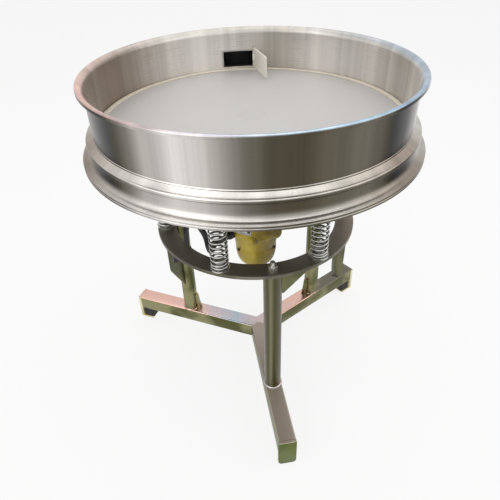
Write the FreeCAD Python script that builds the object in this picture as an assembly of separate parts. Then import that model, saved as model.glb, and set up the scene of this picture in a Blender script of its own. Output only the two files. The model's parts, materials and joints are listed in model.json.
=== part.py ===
import FreeCAD, Part
import math
import os

# Vibrating sieve, 600 class: a feed ring and screen on a collector pan, driven by an
# upright vibration motor and carried on six springs by a ring plate on a three-armed base.
# Millimetres, +Z up. Origin: on the floor under the sieve's axis. The front arm runs along -Y.

V = FreeCAD.Vector

# --- base ---------------------------------------------------------------------------
ARM_COUNT = 3
FRONT_AZ = -90.0
ARM_SIZE = 40.0
ARM_WALL = 2.5
ARM_REACH = 355.0
FOOT_HEIGHT = 40.0
END_PLATE_T = 8.0
END_PLATE_CORNER = 9.0
END_PLATE_LIFT = 2.0
FOOT_PAD = 30.0
POST_DIA = 38.0
POST_WALL = 2.0
POST_LENGTH = 338.0
POST_PCD = 400.0
PLUG_LENGTH = 20.0

# --- ring plate and its brackets ------------------------------------------------------
RING_WIDTH = 40.0
RING_T = 8.0
GUSSET_SIZE = 52.0
GUSSET_T = 5.0
SIDE_PLATE_REACH = 73.0
SIDE_PLATE_EDGE = 155.0
SIDE_PLATE_DROP = 243.0
SIDE_PLATE_TOE = 25.0
LUG_AZ = 6.0
LUG_WIDTH = 90.0
LUG_TIP_WIDTH = 20.0
LUG_DROP = 228.0
STUD_DIA = 10.0
NUT_FLATS = 17.0
NUT_HEIGHT = 9.0
STUD_RISE = 18.0

# --- springs --------------------------------------------------------------------------
SPRING_COUNT = 6
SPRING_FIRST_AZ = -60.0
SPRING_OD = 37.0
SPRING_WIRE = 4.0
SPRING_LENGTH = 140.0
SPRING_TURNS = 14.0
SPRING_STEPS = 8
SEAT_T = 3.0
SEAT_EDGE = 2.0
SPIGOT_HEIGHT = 16.0
SPIGOT_CLEARANCE = 1.6

# --- chassis and collector pan ----------------------------------------------------------
CHASSIS_DIA = 456.0
CHASSIS_T = 8.0
SKIRT_DIA = 432.0
SKIRT_T = 3.0
SKIRT_HEIGHT = 31.0
PAN_SHEET = 2.5
COLLECTOR_HEIGHT = 39.0
COLLECTOR_RIM_DIA = 671.0
COLLECTOR_NECK_DIA = 634.0
COLLECTOR_FLANGE_DIA = 642.0
COLLECTOR_EDGE = 10.0
LEDGE_DIA = 584.0
BOSS_DIA = 52.0
BOSS_HEIGHT = 22.0

# --- feed ring, screen ------------------------------------------------------------------
FEED_BORE = 611.0
FEED_SHEET = 2.4
FEED_HEIGHT = 107.0
RIM_DIA = 641.0
BEAD_DIA = 646.0
BEAD_HEIGHT = 8.0
SWAGE_LIFT = 6.5
SWAGE_WIDTH = 3.0
SWAGE_DEPTH = 1.6
HOOP_WIDTH = 8.0
HOOP_HEIGHT = 11.0
MESH_T = 1.0
GASKET_T = 3.9
GASKET_LIP = 8.0
GASKET_LIP_T = 2.5
FIT_GAP = 0.3

# --- gate and outlets -------------------------------------------------------------------
GATE_AZ = 86.6
GATE_WIDTH = 75.0
GATE_HEIGHT = 36.0
GATE_SILL = 18.0
CHUTE_SHEET = 2.5
CHUTE_FALL = 22.0
DOOR_LENGTH = 95.0
DOOR_T = 2.0
DOOR_OVERLAP = 10.0
DOOR_OPEN_AZ = -82.0
HINGE_OFFSET = 5.5
KNUCKLE_DIA = 6.4
HINGE_PIN_DIA = 3.0
HINGE_LEAF = 16.0
PIN_CLEARANCE = 0.05
KNUCKLE_GAP = 0.4
FINE_AZ = 140.0
FINE_WIDTH = 80.0
FINE_HEIGHT = 17.0
FINE_LENGTH = 49.5
FINE_FALL = 20.0

# --- vibration motor ---------------------------------------------------------------------
MOTOR_FLANGE_DIA = 170.0
MOTOR_FLANGE_T = 10.0
BARREL_DIA = 124.0
BARREL_WALL = 9.0
BARREL_LENGTH = 150.0
SHOULDER_DIA = 132.0
SHOULDER_HEIGHT = 22.0
TAPER_TOP_DIA = 106.0
TAPER_LOW_DIA = 96.0
TAPER_LENGTH = 36.0
COVER_DEPTH = 51.0
COVER_BASE_DIA = 64.0
COVER_WALL = 5.0
STATOR_LENGTH = 70.0
STATOR_BORE = 66.0
AIR_GAP = 1.0
SHAFT_DIA = 20.0
SHAFT_FIT = 0.05
BEARING_DIA = 47.0
BEARING_WIDTH = 14.0
WEIGHT_RADIUS = 34.0
WEIGHT_THICKNESS = 18.0
MOTOR_BOLTS = 6
MOTOR_BOLT_AZ = -106.0
MOTOR_BOLT_DIA = 8.0
HEX_FLATS = 1.625  # times the thread
HEX_HEIGHT = 0.75  # times the thread
COVER_BOLTS = 3
COVER_BOLT_AZ = -155.0
COVER_SCREW_DIA = 7.0
TAB_AZ = -124.0
TAB_WIDTH = 36.0
TAB_HEIGHT = 18.0
TAB_T = 2.0
TAB_GAP = 0.3

# --- motor cable -------------------------------------------------------------------------
CABLE_DIA = 12.0
CABLE_AZ = -152.0
GLAND_LENGTH = 16.0
SOCKET_AZ = -168.0
SOCKET_R = 165.0
SOCKET_DROP = 78.0
SOCKET_LENGTH = 40.0
SOCKET_GRIP = 14.0
SOCKET_WALL = 3.0
SOCKET_WEB = 6.0
SOCKET_CLEARANCE = 0.5

# --- levels, worked out from the sizes above, from the floor up ----------------------------
ARM_Z = FOOT_HEIGHT
POST_Z = ARM_Z + ARM_SIZE
RING_Z = POST_Z + POST_LENGTH
RING_TOP = RING_Z + RING_T
SPRING_Z = RING_TOP + SEAT_T
SPRING_TOP = SPRING_Z + SPRING_LENGTH
CHASSIS_Z = SPRING_TOP + SEAT_T
SKIRT_Z = CHASSIS_Z + CHASSIS_T
PAN_Z = SKIRT_Z + SKIRT_HEIGHT
FLOOR_TOP = PAN_Z + PAN_SHEET
JOINT_Z = PAN_Z + COLLECTOR_HEIGHT
MESH_Z = JOINT_Z + HOOP_HEIGHT
MESH_TOP = MESH_Z + MESH_T
RIM_Z = JOINT_Z + FEED_HEIGHT
SILL_Z = JOINT_Z + GATE_SILL
SWAGE_Z = JOINT_Z + BEAD_HEIGHT + SWAGE_LIFT

POST_R = POST_PCD / 2
RING_IN = POST_R - RING_WIDTH / 2
RING_OUT = POST_R + RING_WIDTH / 2
FEED_IN = FEED_BORE / 2
FEED_OUT = FEED_IN + FEED_SHEET

FINE_REACH = COLLECTOR_RIM_DIA / 2 + FINE_LENGTH

# The coarse outlet ends level with the front arm's end plate, so the origin is the footprint's middle.
GATE_TILT = math.radians(90 - GATE_AZ)
CHUTE_REACH = ((ARM_REACH + END_PLATE_T - (GATE_WIDTH / 2 + CHUTE_SHEET) * math.sin(GATE_TILT))
               / math.cos(GATE_TILT))


def polar(radius, azimuth, z=0.0):
    angle = math.radians(azimuth)
    return V(radius * math.cos(angle), radius * math.sin(angle), z)


def cylinder(dia, z0, z1, centre=V(0, 0, 0)):
    return Part.makeCylinder(dia / 2, z1 - z0, V(centre.x, centre.y, z0))


def tube(outer, inner, z0, z1, centre=V(0, 0, 0)):
    return cylinder(outer, z0, z1, centre).cut(cylinder(inner, z0 - 1, z1 + 1, centre))


def outline(points):
    """A closed wire through (radius, z) points; a three-item point is the middle of an arc."""
    edges = []
    count = len(points)
    place = 0
    while place < count:
        start = points[place]
        follower = points[(place + 1) % count]
        if len(follower) == 3:
            end = points[(place + 2) % count]
            arc = Part.Arc(V(start[0], 0, start[1]), V(follower[0], 0, follower[1]), V(end[0], 0, end[1]))
            edges.append(arc.toShape())
            place += 2
        else:
            edges.append(Part.makeLine(V(start[0], 0, start[1]), V(follower[0], 0, follower[1])))
            place += 1
    return Part.Wire(edges)


def revolve(points):
    return Part.Face(outline(points)).revolve(V(0, 0, 0), V(0, 0, 1), 360)


def turned(shape, azimuth):
    copy = shape.copy()
    copy.rotate(V(0, 0, 0), V(0, 0, 1), azimuth)
    return copy


def plate(points, thickness):
    """A flat plate in the XZ plane, centred on Y=0, from (x, z) corners."""
    shape = Part.Face(outline(points)).extrude(V(0, thickness, 0))
    shape.translate(V(0, -thickness / 2, 0))
    return shape


def hexagon(flats, z0, z1, centre, azimuth=0.0):
    corners = [centre + polar(flats / math.sqrt(3), azimuth + 60 * i) for i in range(7)]
    base = Part.Face(Part.makePolygon([V(p.x, p.y, z0) for p in corners]))
    return base.extrude(V(0, 0, z1 - z0))


def group(shapes):
    return Part.makeCompound(shapes)


def around(count, first):
    return [first + 360.0 / count * i for i in range(count)]


ARM_AZ = around(ARM_COUNT, FRONT_AZ)
SPRING_AZ = around(SPRING_COUNT, SPRING_FIRST_AZ)


# --- base -----------------------------------------------------------------------------------
def base_arm(azimuth):
    """A square tube whose inner end is cut to the point where the three arms meet."""
    half = ARM_SIZE / 2
    outer = Part.makeBox(ARM_REACH, ARM_SIZE, ARM_SIZE, V(0, -half, ARM_Z))
    inner = Part.makeBox(ARM_REACH + 2, ARM_SIZE - 2 * ARM_WALL, ARM_SIZE - 2 * ARM_WALL,
                         V(-1, -half + ARM_WALL, ARM_Z + ARM_WALL))
    sector = half / math.tan(math.radians(180 / ARM_COUNT))
    corners = [V(0, 0, ARM_Z), V(sector, -half, ARM_Z), V(ARM_REACH, -half, ARM_Z),
               V(ARM_REACH, half, ARM_Z), V(sector, half, ARM_Z), V(0, 0, ARM_Z)]
    wedge = Part.Face(Part.makePolygon(corners)).extrude(V(0, 0, ARM_SIZE))
    return turned(outer.cut(inner).common(wedge), azimuth)


def arm_end_plate(azimuth):
    """Closes the tube and reaches down in front of the foot, with rounded lower corners."""
    height = FOOT_HEIGHT + ARM_SIZE - END_PLATE_LIFT
    box = Part.makeBox(END_PLATE_T, ARM_SIZE, height, V(ARM_REACH, -ARM_SIZE / 2, END_PLATE_LIFT))
    low = [e for e in box.Edges
           if abs(e.CenterOfMass.z - END_PLATE_LIFT) < 0.01 and abs(abs(e.CenterOfMass.y) - ARM_SIZE / 2) < 0.01]
    return turned(box.makeFillet(END_PLATE_CORNER, low), azimuth)


def foot_pad(azimuth):
    block = Part.makeBox(FOOT_PAD, FOOT_PAD, FOOT_HEIGHT, V(ARM_REACH - FOOT_PAD, -FOOT_PAD / 2, 0))
    base = [e for e in block.Edges if abs(e.CenterOfMass.z) < 0.01]
    return turned(block.makeChamfer(2.0, base), azimuth)


def post(azimuth):
    centre = polar(POST_R, azimuth)
    return tube(POST_DIA, POST_DIA - 2 * POST_WALL, POST_Z, RING_Z, centre)


def post_plug(azimuth):
    """A solid plug welded in the head of a post, tapped for the stud."""
    centre = polar(POST_R, azimuth)
    return tube(POST_DIA - 2 * POST_WALL, STUD_DIA, RING_Z - PLUG_LENGTH, RING_Z, centre)


def ring_stud(azimuth):
    return cylinder(STUD_DIA, RING_Z - PLUG_LENGTH, RING_TOP + STUD_RISE, polar(POST_R, azimuth))


def ring_nut(azimuth):
    centre = polar(POST_R, azimuth)
    body = hexagon(NUT_FLATS, RING_TOP, RING_TOP + NUT_HEIGHT, centre, azimuth)
    cone = Part.makeCone(NUT_FLATS / 2 + NUT_HEIGHT, NUT_FLATS / 2, NUT_HEIGHT * 1.02,
                         V(centre.x, centre.y, RING_TOP))
    return body.common(cone).cut(cylinder(STUD_DIA, RING_TOP - 1, RING_TOP + NUT_HEIGHT + 1, centre))


# --- ring plate -------------------------------------------------------------------------------
def support_ring():
    shape = tube(2 * RING_OUT, 2 * RING_IN, RING_Z, RING_TOP)
    for azimuth in ARM_AZ:
        shape = shape.cut(cylinder(STUD_DIA, RING_Z - 1, RING_TOP + 1, polar(POST_R, azimuth)))
    return shape


def beside_post(points, thickness, azimuth, side):
    """A plate that stands on the tangent through a post, cut to the post's round side."""
    shape = plate(points, thickness)
    shape = turned(shape, 90 if side > 0 else -90)
    shape.translate(V(POST_R, 0, 0))
    shape = turned(shape, azimuth)
    return shape.cut(cylinder(POST_DIA, POST_Z, RING_Z + 1, polar(POST_R, azimuth)))


def post_gusset():
    """The small triangular gusset between the front post's head and the ring plate."""
    reach = POST_DIA / 2 + GUSSET_SIZE
    points = [(0, RING_Z), (0, RING_Z - GUSSET_SIZE - 4), (POST_DIA / 2 + 4, RING_Z - GUSSET_SIZE - 4),
              (reach, RING_Z - 4), (reach, RING_Z)]
    return beside_post(points, GUSSET_T, FRONT_AZ, 1)


def side_plate():
    """The deep plate beside the left post, straight at its outer edge and raked to the post."""
    toe = POST_DIA / 2
    points = [(0, RING_Z), (0, RING_Z - SIDE_PLATE_DROP), (toe, RING_Z - SIDE_PLATE_DROP),
              (SIDE_PLATE_REACH, RING_Z - SIDE_PLATE_EDGE), (SIDE_PLATE_REACH, RING_Z)]
    shape = beside_post(points, GUSSET_T, ARM_AZ[2], 1)
    edge = [e for e in shape.Edges
            if abs(e.CenterOfMass.z - (RING_Z - SIDE_PLATE_EDGE)) < 0.01 and e.Length < GUSSET_T + 0.01]
    return shape.makeFillet(SIDE_PLATE_TOE, edge)


def side_lug():
    """The tapered lug that hangs below the ring plate between the front and right posts."""
    half = LUG_WIDTH / 2
    points = [(-half, RING_Z), (-half, RING_Z - LUG_DROP * 0.3),
              (half - LUG_TIP_WIDTH, RING_Z - LUG_DROP),
              (half, RING_Z - LUG_DROP), (half, RING_Z)]
    shape = turned(plate(points, GUSSET_T), 90)
    shape.translate(V(POST_R + RING_WIDTH / 4, 0, 0))
    return turned(shape, LUG_AZ)


# --- springs -----------------------------------------------------------------------------------
def spring_seat(z0, upwards):
    """A washer with a centre spigot that holds one end of a spring."""
    spigot = (SPRING_OD - 2 * SPRING_WIRE) / 2 - SPIGOT_CLEARANCE
    outer = SPRING_OD / 2 + SEAT_EDGE
    shape = revolve([(0, 0), (outer, 0), (outer, SEAT_T), (spigot, SEAT_T), (spigot, SEAT_T + SPIGOT_HEIGHT - 2),
                     (spigot - 2, SEAT_T + SPIGOT_HEIGHT), (0, SEAT_T + SPIGOT_HEIGHT)])
    if not upwards:
        shape.rotate(V(0, 0, 0), V(1, 0, 0), 180)
    shape.translate(V(0, 0, z0))
    return shape


def seats(z0, upwards):
    shapes = []
    for azimuth in SPRING_AZ:
        shape = spring_seat(z0, upwards)
        shape.translate(polar(POST_R, azimuth))
        shapes.append(shape)
    return group(shapes)


def coil_height(turn):
    """Centre height of the wire: the end turns lie flat and the others are evenly pitched."""
    ends = 1.0
    free = SPRING_TURNS - 2 * ends
    rise = SPRING_LENGTH - 3 * SPRING_WIRE
    flat = SPRING_WIRE / 2
    if turn < ends:
        return flat + SPRING_WIRE * turn
    if turn > SPRING_TURNS - ends:
        return flat + SPRING_WIRE + rise + SPRING_WIRE * (turn - SPRING_TURNS + ends)
    return flat + SPRING_WIRE + rise * (turn - ends) / free


def coil_section(turn):
    mean = (SPRING_OD - SPRING_WIRE) / 2
    half = SPRING_WIRE / 2
    angle = 2 * math.pi * turn
    height = coil_height(turn)
    section = []
    for along, up in ((half, 0), (0, half), (-half, 0), (0, -half)):
        radius = mean + along
        section.append(V(radius * math.cos(angle), radius * math.sin(angle), height + up))
    return section


def spring():
    """One coil spring as a closed faceted solid, which keeps its many turns light."""
    sections = [coil_section(i / SPRING_STEPS) for i in range(int(SPRING_TURNS * SPRING_STEPS) + 1)]
    faces = [Part.Face(Part.makePolygon(sections[0] + sections[0][:1]))]
    faces.append(Part.Face(Part.makePolygon(sections[-1] + sections[-1][:1])))
    for near, far in zip(sections, sections[1:]):
        for i in range(4):
            j = (i + 1) % 4
            faces.append(Part.Face(Part.makePolygon([near[i], near[j], far[j], near[i]])))
            faces.append(Part.Face(Part.makePolygon([near[i], far[j], far[i], near[i]])))
    solid = Part.Solid(Part.Shell(faces))
    if solid.Volume < 0:
        solid.reverse()
    solid.translate(V(0, 0, SPRING_Z))
    return solid


# --- chassis and collector -------------------------------------------------------------------------
def chassis_disc():
    shape = cylinder(CHASSIS_DIA, CHASSIS_Z, SKIRT_Z)
    for azimuth in around(MOTOR_BOLTS, MOTOR_BOLT_AZ):
        hole = polar(MOTOR_FLANGE_DIA / 2 - MOTOR_BOLT_DIA * 1.4, azimuth)
        shape = shape.cut(cylinder(MOTOR_BOLT_DIA, CHASSIS_Z - 1, SKIRT_Z + 1, hole))
    return shape


def chassis_skirt():
    return tube(SKIRT_DIA, SKIRT_DIA - 2 * SKIRT_T, SKIRT_Z, PAN_Z)


def collector_outer():
    """Outer face of the collector, from its lowest edge up: flange, groove, hollow flare, neck."""
    rim = COLLECTOR_RIM_DIA / 2
    neck = COLLECTOR_NECK_DIA / 2
    edge_top = PAN_Z + COLLECTOR_EDGE
    flare_top = JOINT_Z - PAN_SHEET
    flare_foot = rim - 5.0
    mid_r = neck + (flare_foot - neck) * 0.24
    mid_z = edge_top + 1.5 + (flare_top - edge_top - 1.5) * 0.38
    return [(rim - 1.5, PAN_Z), (rim, PAN_Z + 1.5), (rim, PAN_Z + 4.0), (rim - 1.5, PAN_Z + 5.2),
            (rim, PAN_Z + 6.4), (rim, edge_top - 1.0), (rim - 1.0, edge_top), (flare_foot, edge_top + 1.5),
            (mid_r, mid_z, 0), (neck, flare_top)]


def collector_pan():
    """The collector in one piece: pressed floor, flared wall and the flange that carries the screen."""
    rim = COLLECTOR_RIM_DIA / 2
    neck = COLLECTOR_NECK_DIA / 2 - PAN_SHEET
    edge_top = PAN_Z + COLLECTOR_EDGE
    flange = COLLECTOR_FLANGE_DIA / 2
    foot = rim - 5.0 - PAN_SHEET
    under = JOINT_Z - PAN_SHEET
    mid_r = neck + (foot - neck) * 0.24
    mid_z = edge_top + 1.5 + (under - edge_top - 1.5) * 0.38
    points = [(0, PAN_Z)] + collector_outer()
    points += [(flange, under), (flange, JOINT_Z), (LEDGE_DIA / 2, JOINT_Z), (LEDGE_DIA / 2, under)]
    points += [(neck, under), (mid_r, mid_z, 0), (foot, edge_top + 1.5), (foot, FLOOR_TOP), (0, FLOOR_TOP)]
    return revolve(points).cut(fine_passage())


def centre_boss():
    """The low cap over the motor's middle, which shows faintly through the screen."""
    r = BOSS_DIA / 2
    top = FLOOR_TOP + BOSS_HEIGHT
    return revolve([(0, FLOOR_TOP), (r, FLOOR_TOP), (r, top - 3), (r - 3, top), (0, top)])


# --- outlets ---------------------------------------------------------------------------------------
def duct(inner_floor, inner_roof, width, sheet):
    """A sheet-metal spout along +X and its passage, from the (x, z) lines of floor and roof."""
    passage = inner_floor + inner_roof[::-1]
    low = [(x, z - sheet) for x, z in inner_floor]
    high = [(x, z + sheet) for x, z in inner_roof]
    body = plate(low + high[::-1], width + 2 * sheet)
    return body, plate(passage, width)


def fine_lines():
    start = LEDGE_DIA / 2
    bend = COLLECTOR_RIM_DIA / 2 + 4
    floor = [(start, FLOOR_TOP), (bend, FLOOR_TOP), (FINE_REACH, FLOOR_TOP - FINE_FALL)]
    roof = [(x, FLOOR_TOP + FINE_HEIGHT) for x, z in floor]
    return floor, roof


def fine_passage():
    floor, roof = fine_lines()
    body, passage = duct(floor, roof, FINE_WIDTH, CHUTE_SHEET)
    return turned(passage, FINE_AZ)


def fine_outlet():
    floor, roof = fine_lines()
    body, passage = duct(floor, roof, FINE_WIDTH, CHUTE_SHEET)
    drum = revolve([(0, PAN_Z)] + collector_outer() + [(0, JOINT_Z - PAN_SHEET)])
    shape = turned(body.cut(passage), FINE_AZ).cut(drum)
    return max(shape.Solids, key=lambda s: s.Volume)


def coarse_lines():
    start = FEED_IN - 6
    bend = FEED_OUT + 18
    floor = [(start, SILL_Z), (bend, SILL_Z), (CHUTE_REACH, SILL_Z - CHUTE_FALL)]
    roof = [(x, SILL_Z + GATE_HEIGHT) for x, z in floor]
    return floor, roof


def coarse_outlet():
    floor, roof = coarse_lines()
    body, passage = duct(floor, roof, GATE_WIDTH, CHUTE_SHEET)
    drum = cylinder(2 * FEED_OUT, JOINT_Z, RIM_Z)
    ridge = cylinder(2 * (FEED_OUT + SWAGE_DEPTH + FIT_GAP), JOINT_Z, SWAGE_Z + SWAGE_WIDTH + FIT_GAP)
    shape = turned(body.cut(passage), GATE_AZ).cut(drum).cut(ridge)
    return max(shape.Solids, key=lambda s: s.Volume)


def gate_opening():
    depth = 12 * FEED_SHEET
    box = Part.makeBox(depth, GATE_WIDTH, GATE_HEIGHT, V(FEED_IN - depth / 2, -GATE_WIDTH / 2, SILL_Z))
    return turned(box, GATE_AZ)


# --- feed ring and screen ----------------------------------------------------------------------------
def feed_ring():
    """The feed ring: rolled lip, straight wall, and the bead and foot that sit on the collector."""
    rim = RIM_DIA / 2
    bead = BEAD_DIA / 2
    lip = 4.0
    sheet = FEED_SHEET
    bend = FEED_IN + 8.0
    curl = lip * math.sin(math.pi / 4)
    half_bead = BEAD_HEIGHT / 2
    points = [(FEED_IN, JOINT_Z), (bead - half_bead, JOINT_Z), (bead, JOINT_Z + half_bead, 0),
              (bead - half_bead, JOINT_Z + BEAD_HEIGHT), (FEED_OUT + SWAGE_DEPTH * 0.6, SWAGE_Z),
              (FEED_OUT + SWAGE_DEPTH, SWAGE_Z + SWAGE_WIDTH / 2), (FEED_OUT, SWAGE_Z + SWAGE_WIDTH),
              (FEED_OUT, RIM_Z - 6.0), (bend - sheet, RIM_Z - sheet), (rim - lip, RIM_Z - sheet),
              (rim - sheet, RIM_Z - lip), (rim - sheet, RIM_Z - lip - 3.0), (rim, RIM_Z - lip - 3.0),
              (rim, RIM_Z - lip), (rim - lip + curl, RIM_Z - lip + curl, 0), (rim - lip, RIM_Z),
              (bend, RIM_Z), (FEED_IN + 2.5, RIM_Z - 2.5), (FEED_IN, RIM_Z - 8.0)]
    return revolve(points).cut(gate_opening())


def hoop_outer():
    return 2 * (FEED_IN - FIT_GAP - GASKET_T)


def screen_hoop():
    return tube(hoop_outer(), hoop_outer() - 2 * HOOP_WIDTH, JOINT_Z, MESH_Z)


def screen_mesh():
    return cylinder(hoop_outer(), MESH_Z, MESH_TOP)


def screen_gasket():
    """The pale seal round the screen: an upright band with a lip over the mesh's edge."""
    outer = FEED_IN - FIT_GAP
    inner = hoop_outer() / 2
    top = MESH_TOP + GASKET_LIP_T
    return revolve([(inner, JOINT_Z), (outer, JOINT_Z), (outer, top - 1), (outer - 1, top),
                    (inner - GASKET_LIP + 1, top), (inner - GASKET_LIP, MESH_TOP), (inner, MESH_TOP)])


# --- gate --------------------------------------------------------------------------------------------
HINGE_R = FEED_IN - HINGE_OFFSET
HINGE_AZ = GATE_AZ - math.degrees((GATE_WIDTH / 2 - 1) / HINGE_R)
HINGE_AT = polar(HINGE_R, HINGE_AZ)
DOOR_Z = SILL_Z - 1.0
DOOR_TOP = SILL_Z + GATE_HEIGHT + DOOR_OVERLAP - 1.0
KNUCKLE = (DOOR_TOP - DOOR_Z - 2 * KNUCKLE_GAP) / 3


def gate_hinge():
    """The fixed leaf on the wall with the upper and lower knuckles."""
    leaf = Part.makeBox(HINGE_OFFSET + 1, HINGE_LEAF, DOOR_TOP - DOOR_Z, V(HINGE_R + 1.2, -HINGE_LEAF, DOOR_Z))
    leaf = turned(leaf, HINGE_AZ).common(cylinder(2 * (FEED_IN - FIT_GAP), DOOR_Z, DOOR_TOP))
    hollow = Part.makeBox(KNUCKLE_DIA, 3 * HINGE_LEAF, KNUCKLE + 2 * KNUCKLE_GAP,
                          V(HINGE_R - KNUCKLE_DIA / 2, -6, DOOR_Z + KNUCKLE))
    knuckles = cylinder(KNUCKLE_DIA, DOOR_Z, DOOR_TOP, HINGE_AT)
    shape = leaf.fuse(knuckles).cut(turned(hollow, HINGE_AZ))
    shape = shape.cut(cylinder(HINGE_PIN_DIA + 2 * PIN_CLEARANCE, DOOR_Z - 1, DOOR_TOP + 1, HINGE_AT))
    return shape.removeSplitter()


def hinge_pin():
    pin = cylinder(HINGE_PIN_DIA, DOOR_Z - 0.5, DOOR_TOP + 1.5, HINGE_AT)
    head = cylinder(KNUCKLE_DIA - 1.4, DOOR_TOP, DOOR_TOP + 1.5, HINGE_AT)
    return pin.fuse(head).removeSplitter()


def gate_door():
    """The door plate with its middle knuckle, standing open on the hinge."""
    clear = KNUCKLE_DIA / 2 + 1
    sheet = Part.makeBox(DOOR_LENGTH - clear, DOOR_T, DOOR_TOP - DOOR_Z, V(clear, -DOOR_T / 2, DOOR_Z))
    upright = [e for e in sheet.Edges if abs(e.CenterOfMass.x - DOOR_LENGTH) < 0.01 and e.Length < DOOR_T + 0.01]
    sheet = sheet.makeFillet(3.0, upright)
    z0 = DOOR_Z + KNUCKLE + KNUCKLE_GAP
    knuckle = cylinder(KNUCKLE_DIA, z0, z0 + KNUCKLE)
    web = Part.makeBox(clear + 1, DOOR_T, KNUCKLE, V(0, -DOOR_T / 2, z0))
    shape = sheet.fuse(web).fuse(knuckle)
    shape = shape.cut(cylinder(HINGE_PIN_DIA + 2 * PIN_CLEARANCE, z0 - 1, z0 + KNUCKLE + 1)).removeSplitter()
    shape = turned(shape, DOOR_OPEN_AZ)
    shape.translate(HINGE_AT)
    return shape


# --- motor --------------------------------------------------------------------------------------------
FLANGE_LOW = CHASSIS_Z - MOTOR_FLANGE_T
BARREL_LOW = FLANGE_LOW - BARREL_LENGTH
SHOULDER_LOW = BARREL_LOW - SHOULDER_HEIGHT
TAPER_LOW = SHOULDER_LOW - TAPER_LENGTH
COVER_LOW = TAPER_LOW - COVER_DEPTH
BEARING_HIGH_Z = FLANGE_LOW - BEARING_WIDTH - WEIGHT_THICKNESS - 12
STATOR_LEDGE = BARREL_LOW + 8


def motor_housing():
    """The cast housing: flange, barrel, bolted shoulder and tapered neck, bored in steps."""
    bore = BARREL_DIA / 2 - BARREL_WALL
    seat = BEARING_DIA / 2
    points = [(BARREL_DIA / 2 - 20, CHASSIS_Z), (MOTOR_FLANGE_DIA / 2, CHASSIS_Z),
              (MOTOR_FLANGE_DIA / 2, FLANGE_LOW), (BARREL_DIA / 2 + 3, FLANGE_LOW),
              (BARREL_DIA / 2, FLANGE_LOW - 3), (BARREL_DIA / 2, BARREL_LOW + 6),
              (SHOULDER_DIA / 2 - 2, BARREL_LOW), (SHOULDER_DIA / 2, BARREL_LOW - 3),
              (SHOULDER_DIA / 2, SHOULDER_LOW + 4), (SHOULDER_DIA / 2 - 4, SHOULDER_LOW),
              (TAPER_TOP_DIA / 2 + 3, SHOULDER_LOW), (TAPER_TOP_DIA / 2, SHOULDER_LOW - 3),
              (TAPER_LOW_DIA / 2, TAPER_LOW), (seat + 6, TAPER_LOW),
              (seat + 6, TAPER_LOW + 6), (seat, TAPER_LOW + 6), (seat, TAPER_LOW + 6 + BEARING_WIDTH),
              (TAPER_LOW_DIA / 2 - 8, TAPER_LOW + 12 + BEARING_WIDTH),
              (STATOR_BORE / 2 + 6, STATOR_LEDGE), (bore, STATOR_LEDGE), (bore, BEARING_HIGH_Z - 6),
              (seat, BEARING_HIGH_Z - 6), (seat, BEARING_HIGH_Z + BEARING_WIDTH),
              (BARREL_DIA / 2 - 20, BEARING_HIGH_Z + BEARING_WIDTH)]
    shape = revolve(points)
    for azimuth in around(MOTOR_BOLTS, MOTOR_BOLT_AZ):
        hole = polar(MOTOR_FLANGE_DIA / 2 - MOTOR_BOLT_DIA * 1.4, azimuth)
        shape = shape.cut(cylinder(MOTOR_BOLT_DIA, FLANGE_LOW - 1, CHASSIS_Z + 1, hole))
    return shape


def motor_cover():
    """The smooth cup that closes the lower end of the motor: a short skirt and a quarter-ellipse bowl."""
    top = TAPER_LOW_DIA / 2
    base = COVER_BASE_DIA / 2
    skirt = COVER_DEPTH * 0.2
    steps = 6

    def bowl(wall):
        turns = [math.radians(90.0 * i / steps) for i in range(steps + 1)]
        return [(base + (top - base) * math.cos(t) - wall * math.cos(t),
                 TAPER_LOW - skirt - (COVER_DEPTH - skirt) * math.sin(t) + wall * math.sin(t)) for t in turns]

    outer = [(top, TAPER_LOW)] + bowl(0) + [(0, COVER_LOW)]
    inner = [(0, COVER_LOW + COVER_WALL)] + bowl(COVER_WALL)[::-1] + [(top - COVER_WALL, TAPER_LOW)]
    return revolve(outer + inner)


def motor_stator():
    outer = BARREL_DIA - 2 * BARREL_WALL - 2 * FIT_GAP
    return tube(outer, STATOR_BORE, STATOR_LEDGE, STATOR_LEDGE + STATOR_LENGTH)


def rotor_core():
    return tube(STATOR_BORE - 2 * AIR_GAP, SHAFT_DIA, STATOR_LEDGE + 2, STATOR_LEDGE + STATOR_LENGTH - 2)


def rotor_shaft():
    return cylinder(SHAFT_DIA, TAPER_LOW - WEIGHT_THICKNESS - 8, BEARING_HIGH_Z + BEARING_WIDTH + WEIGHT_THICKNESS + 6)


def bearing(z0):
    return tube(BEARING_DIA, SHAFT_DIA + 2 * SHAFT_FIT, z0, z0 + BEARING_WIDTH)


def eccentric_weight(z0, radius):
    """A half-disc weight with a clamping hub, fixed on the shaft."""
    disc = cylinder(2 * radius, z0, z0 + WEIGHT_THICKNESS)
    half = Part.makeBox(2 * radius, radius, WEIGHT_THICKNESS + 2, V(-radius, 0, z0 - 1))
    hub = cylinder(SHAFT_DIA + 14, z0, z0 + WEIGHT_THICKNESS)
    return disc.cut(half).fuse(hub).cut(cylinder(SHAFT_DIA, z0 - 1, z0 + WEIGHT_THICKNESS + 1)).removeSplitter()


def motor_bolts():
    """Hexagon bolts up through the motor's flange and the chassis disc, with nuts on top."""
    shapes = []
    for azimuth in around(MOTOR_BOLTS, MOTOR_BOLT_AZ):
        at = polar(MOTOR_FLANGE_DIA / 2 - MOTOR_BOLT_DIA * 1.4, azimuth)
        flats, height = MOTOR_BOLT_DIA * HEX_FLATS, MOTOR_BOLT_DIA * HEX_HEIGHT
        head = hexagon(flats, FLANGE_LOW - height, FLANGE_LOW, at, azimuth)
        shank = cylinder(MOTOR_BOLT_DIA, FLANGE_LOW, SKIRT_Z + 1.6 * height, at)
        nut = hexagon(flats, SKIRT_Z, SKIRT_Z + height, at, azimuth)
        shapes.append(head.fuse(shank).fuse(nut).removeSplitter())
    return group(shapes)


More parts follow.
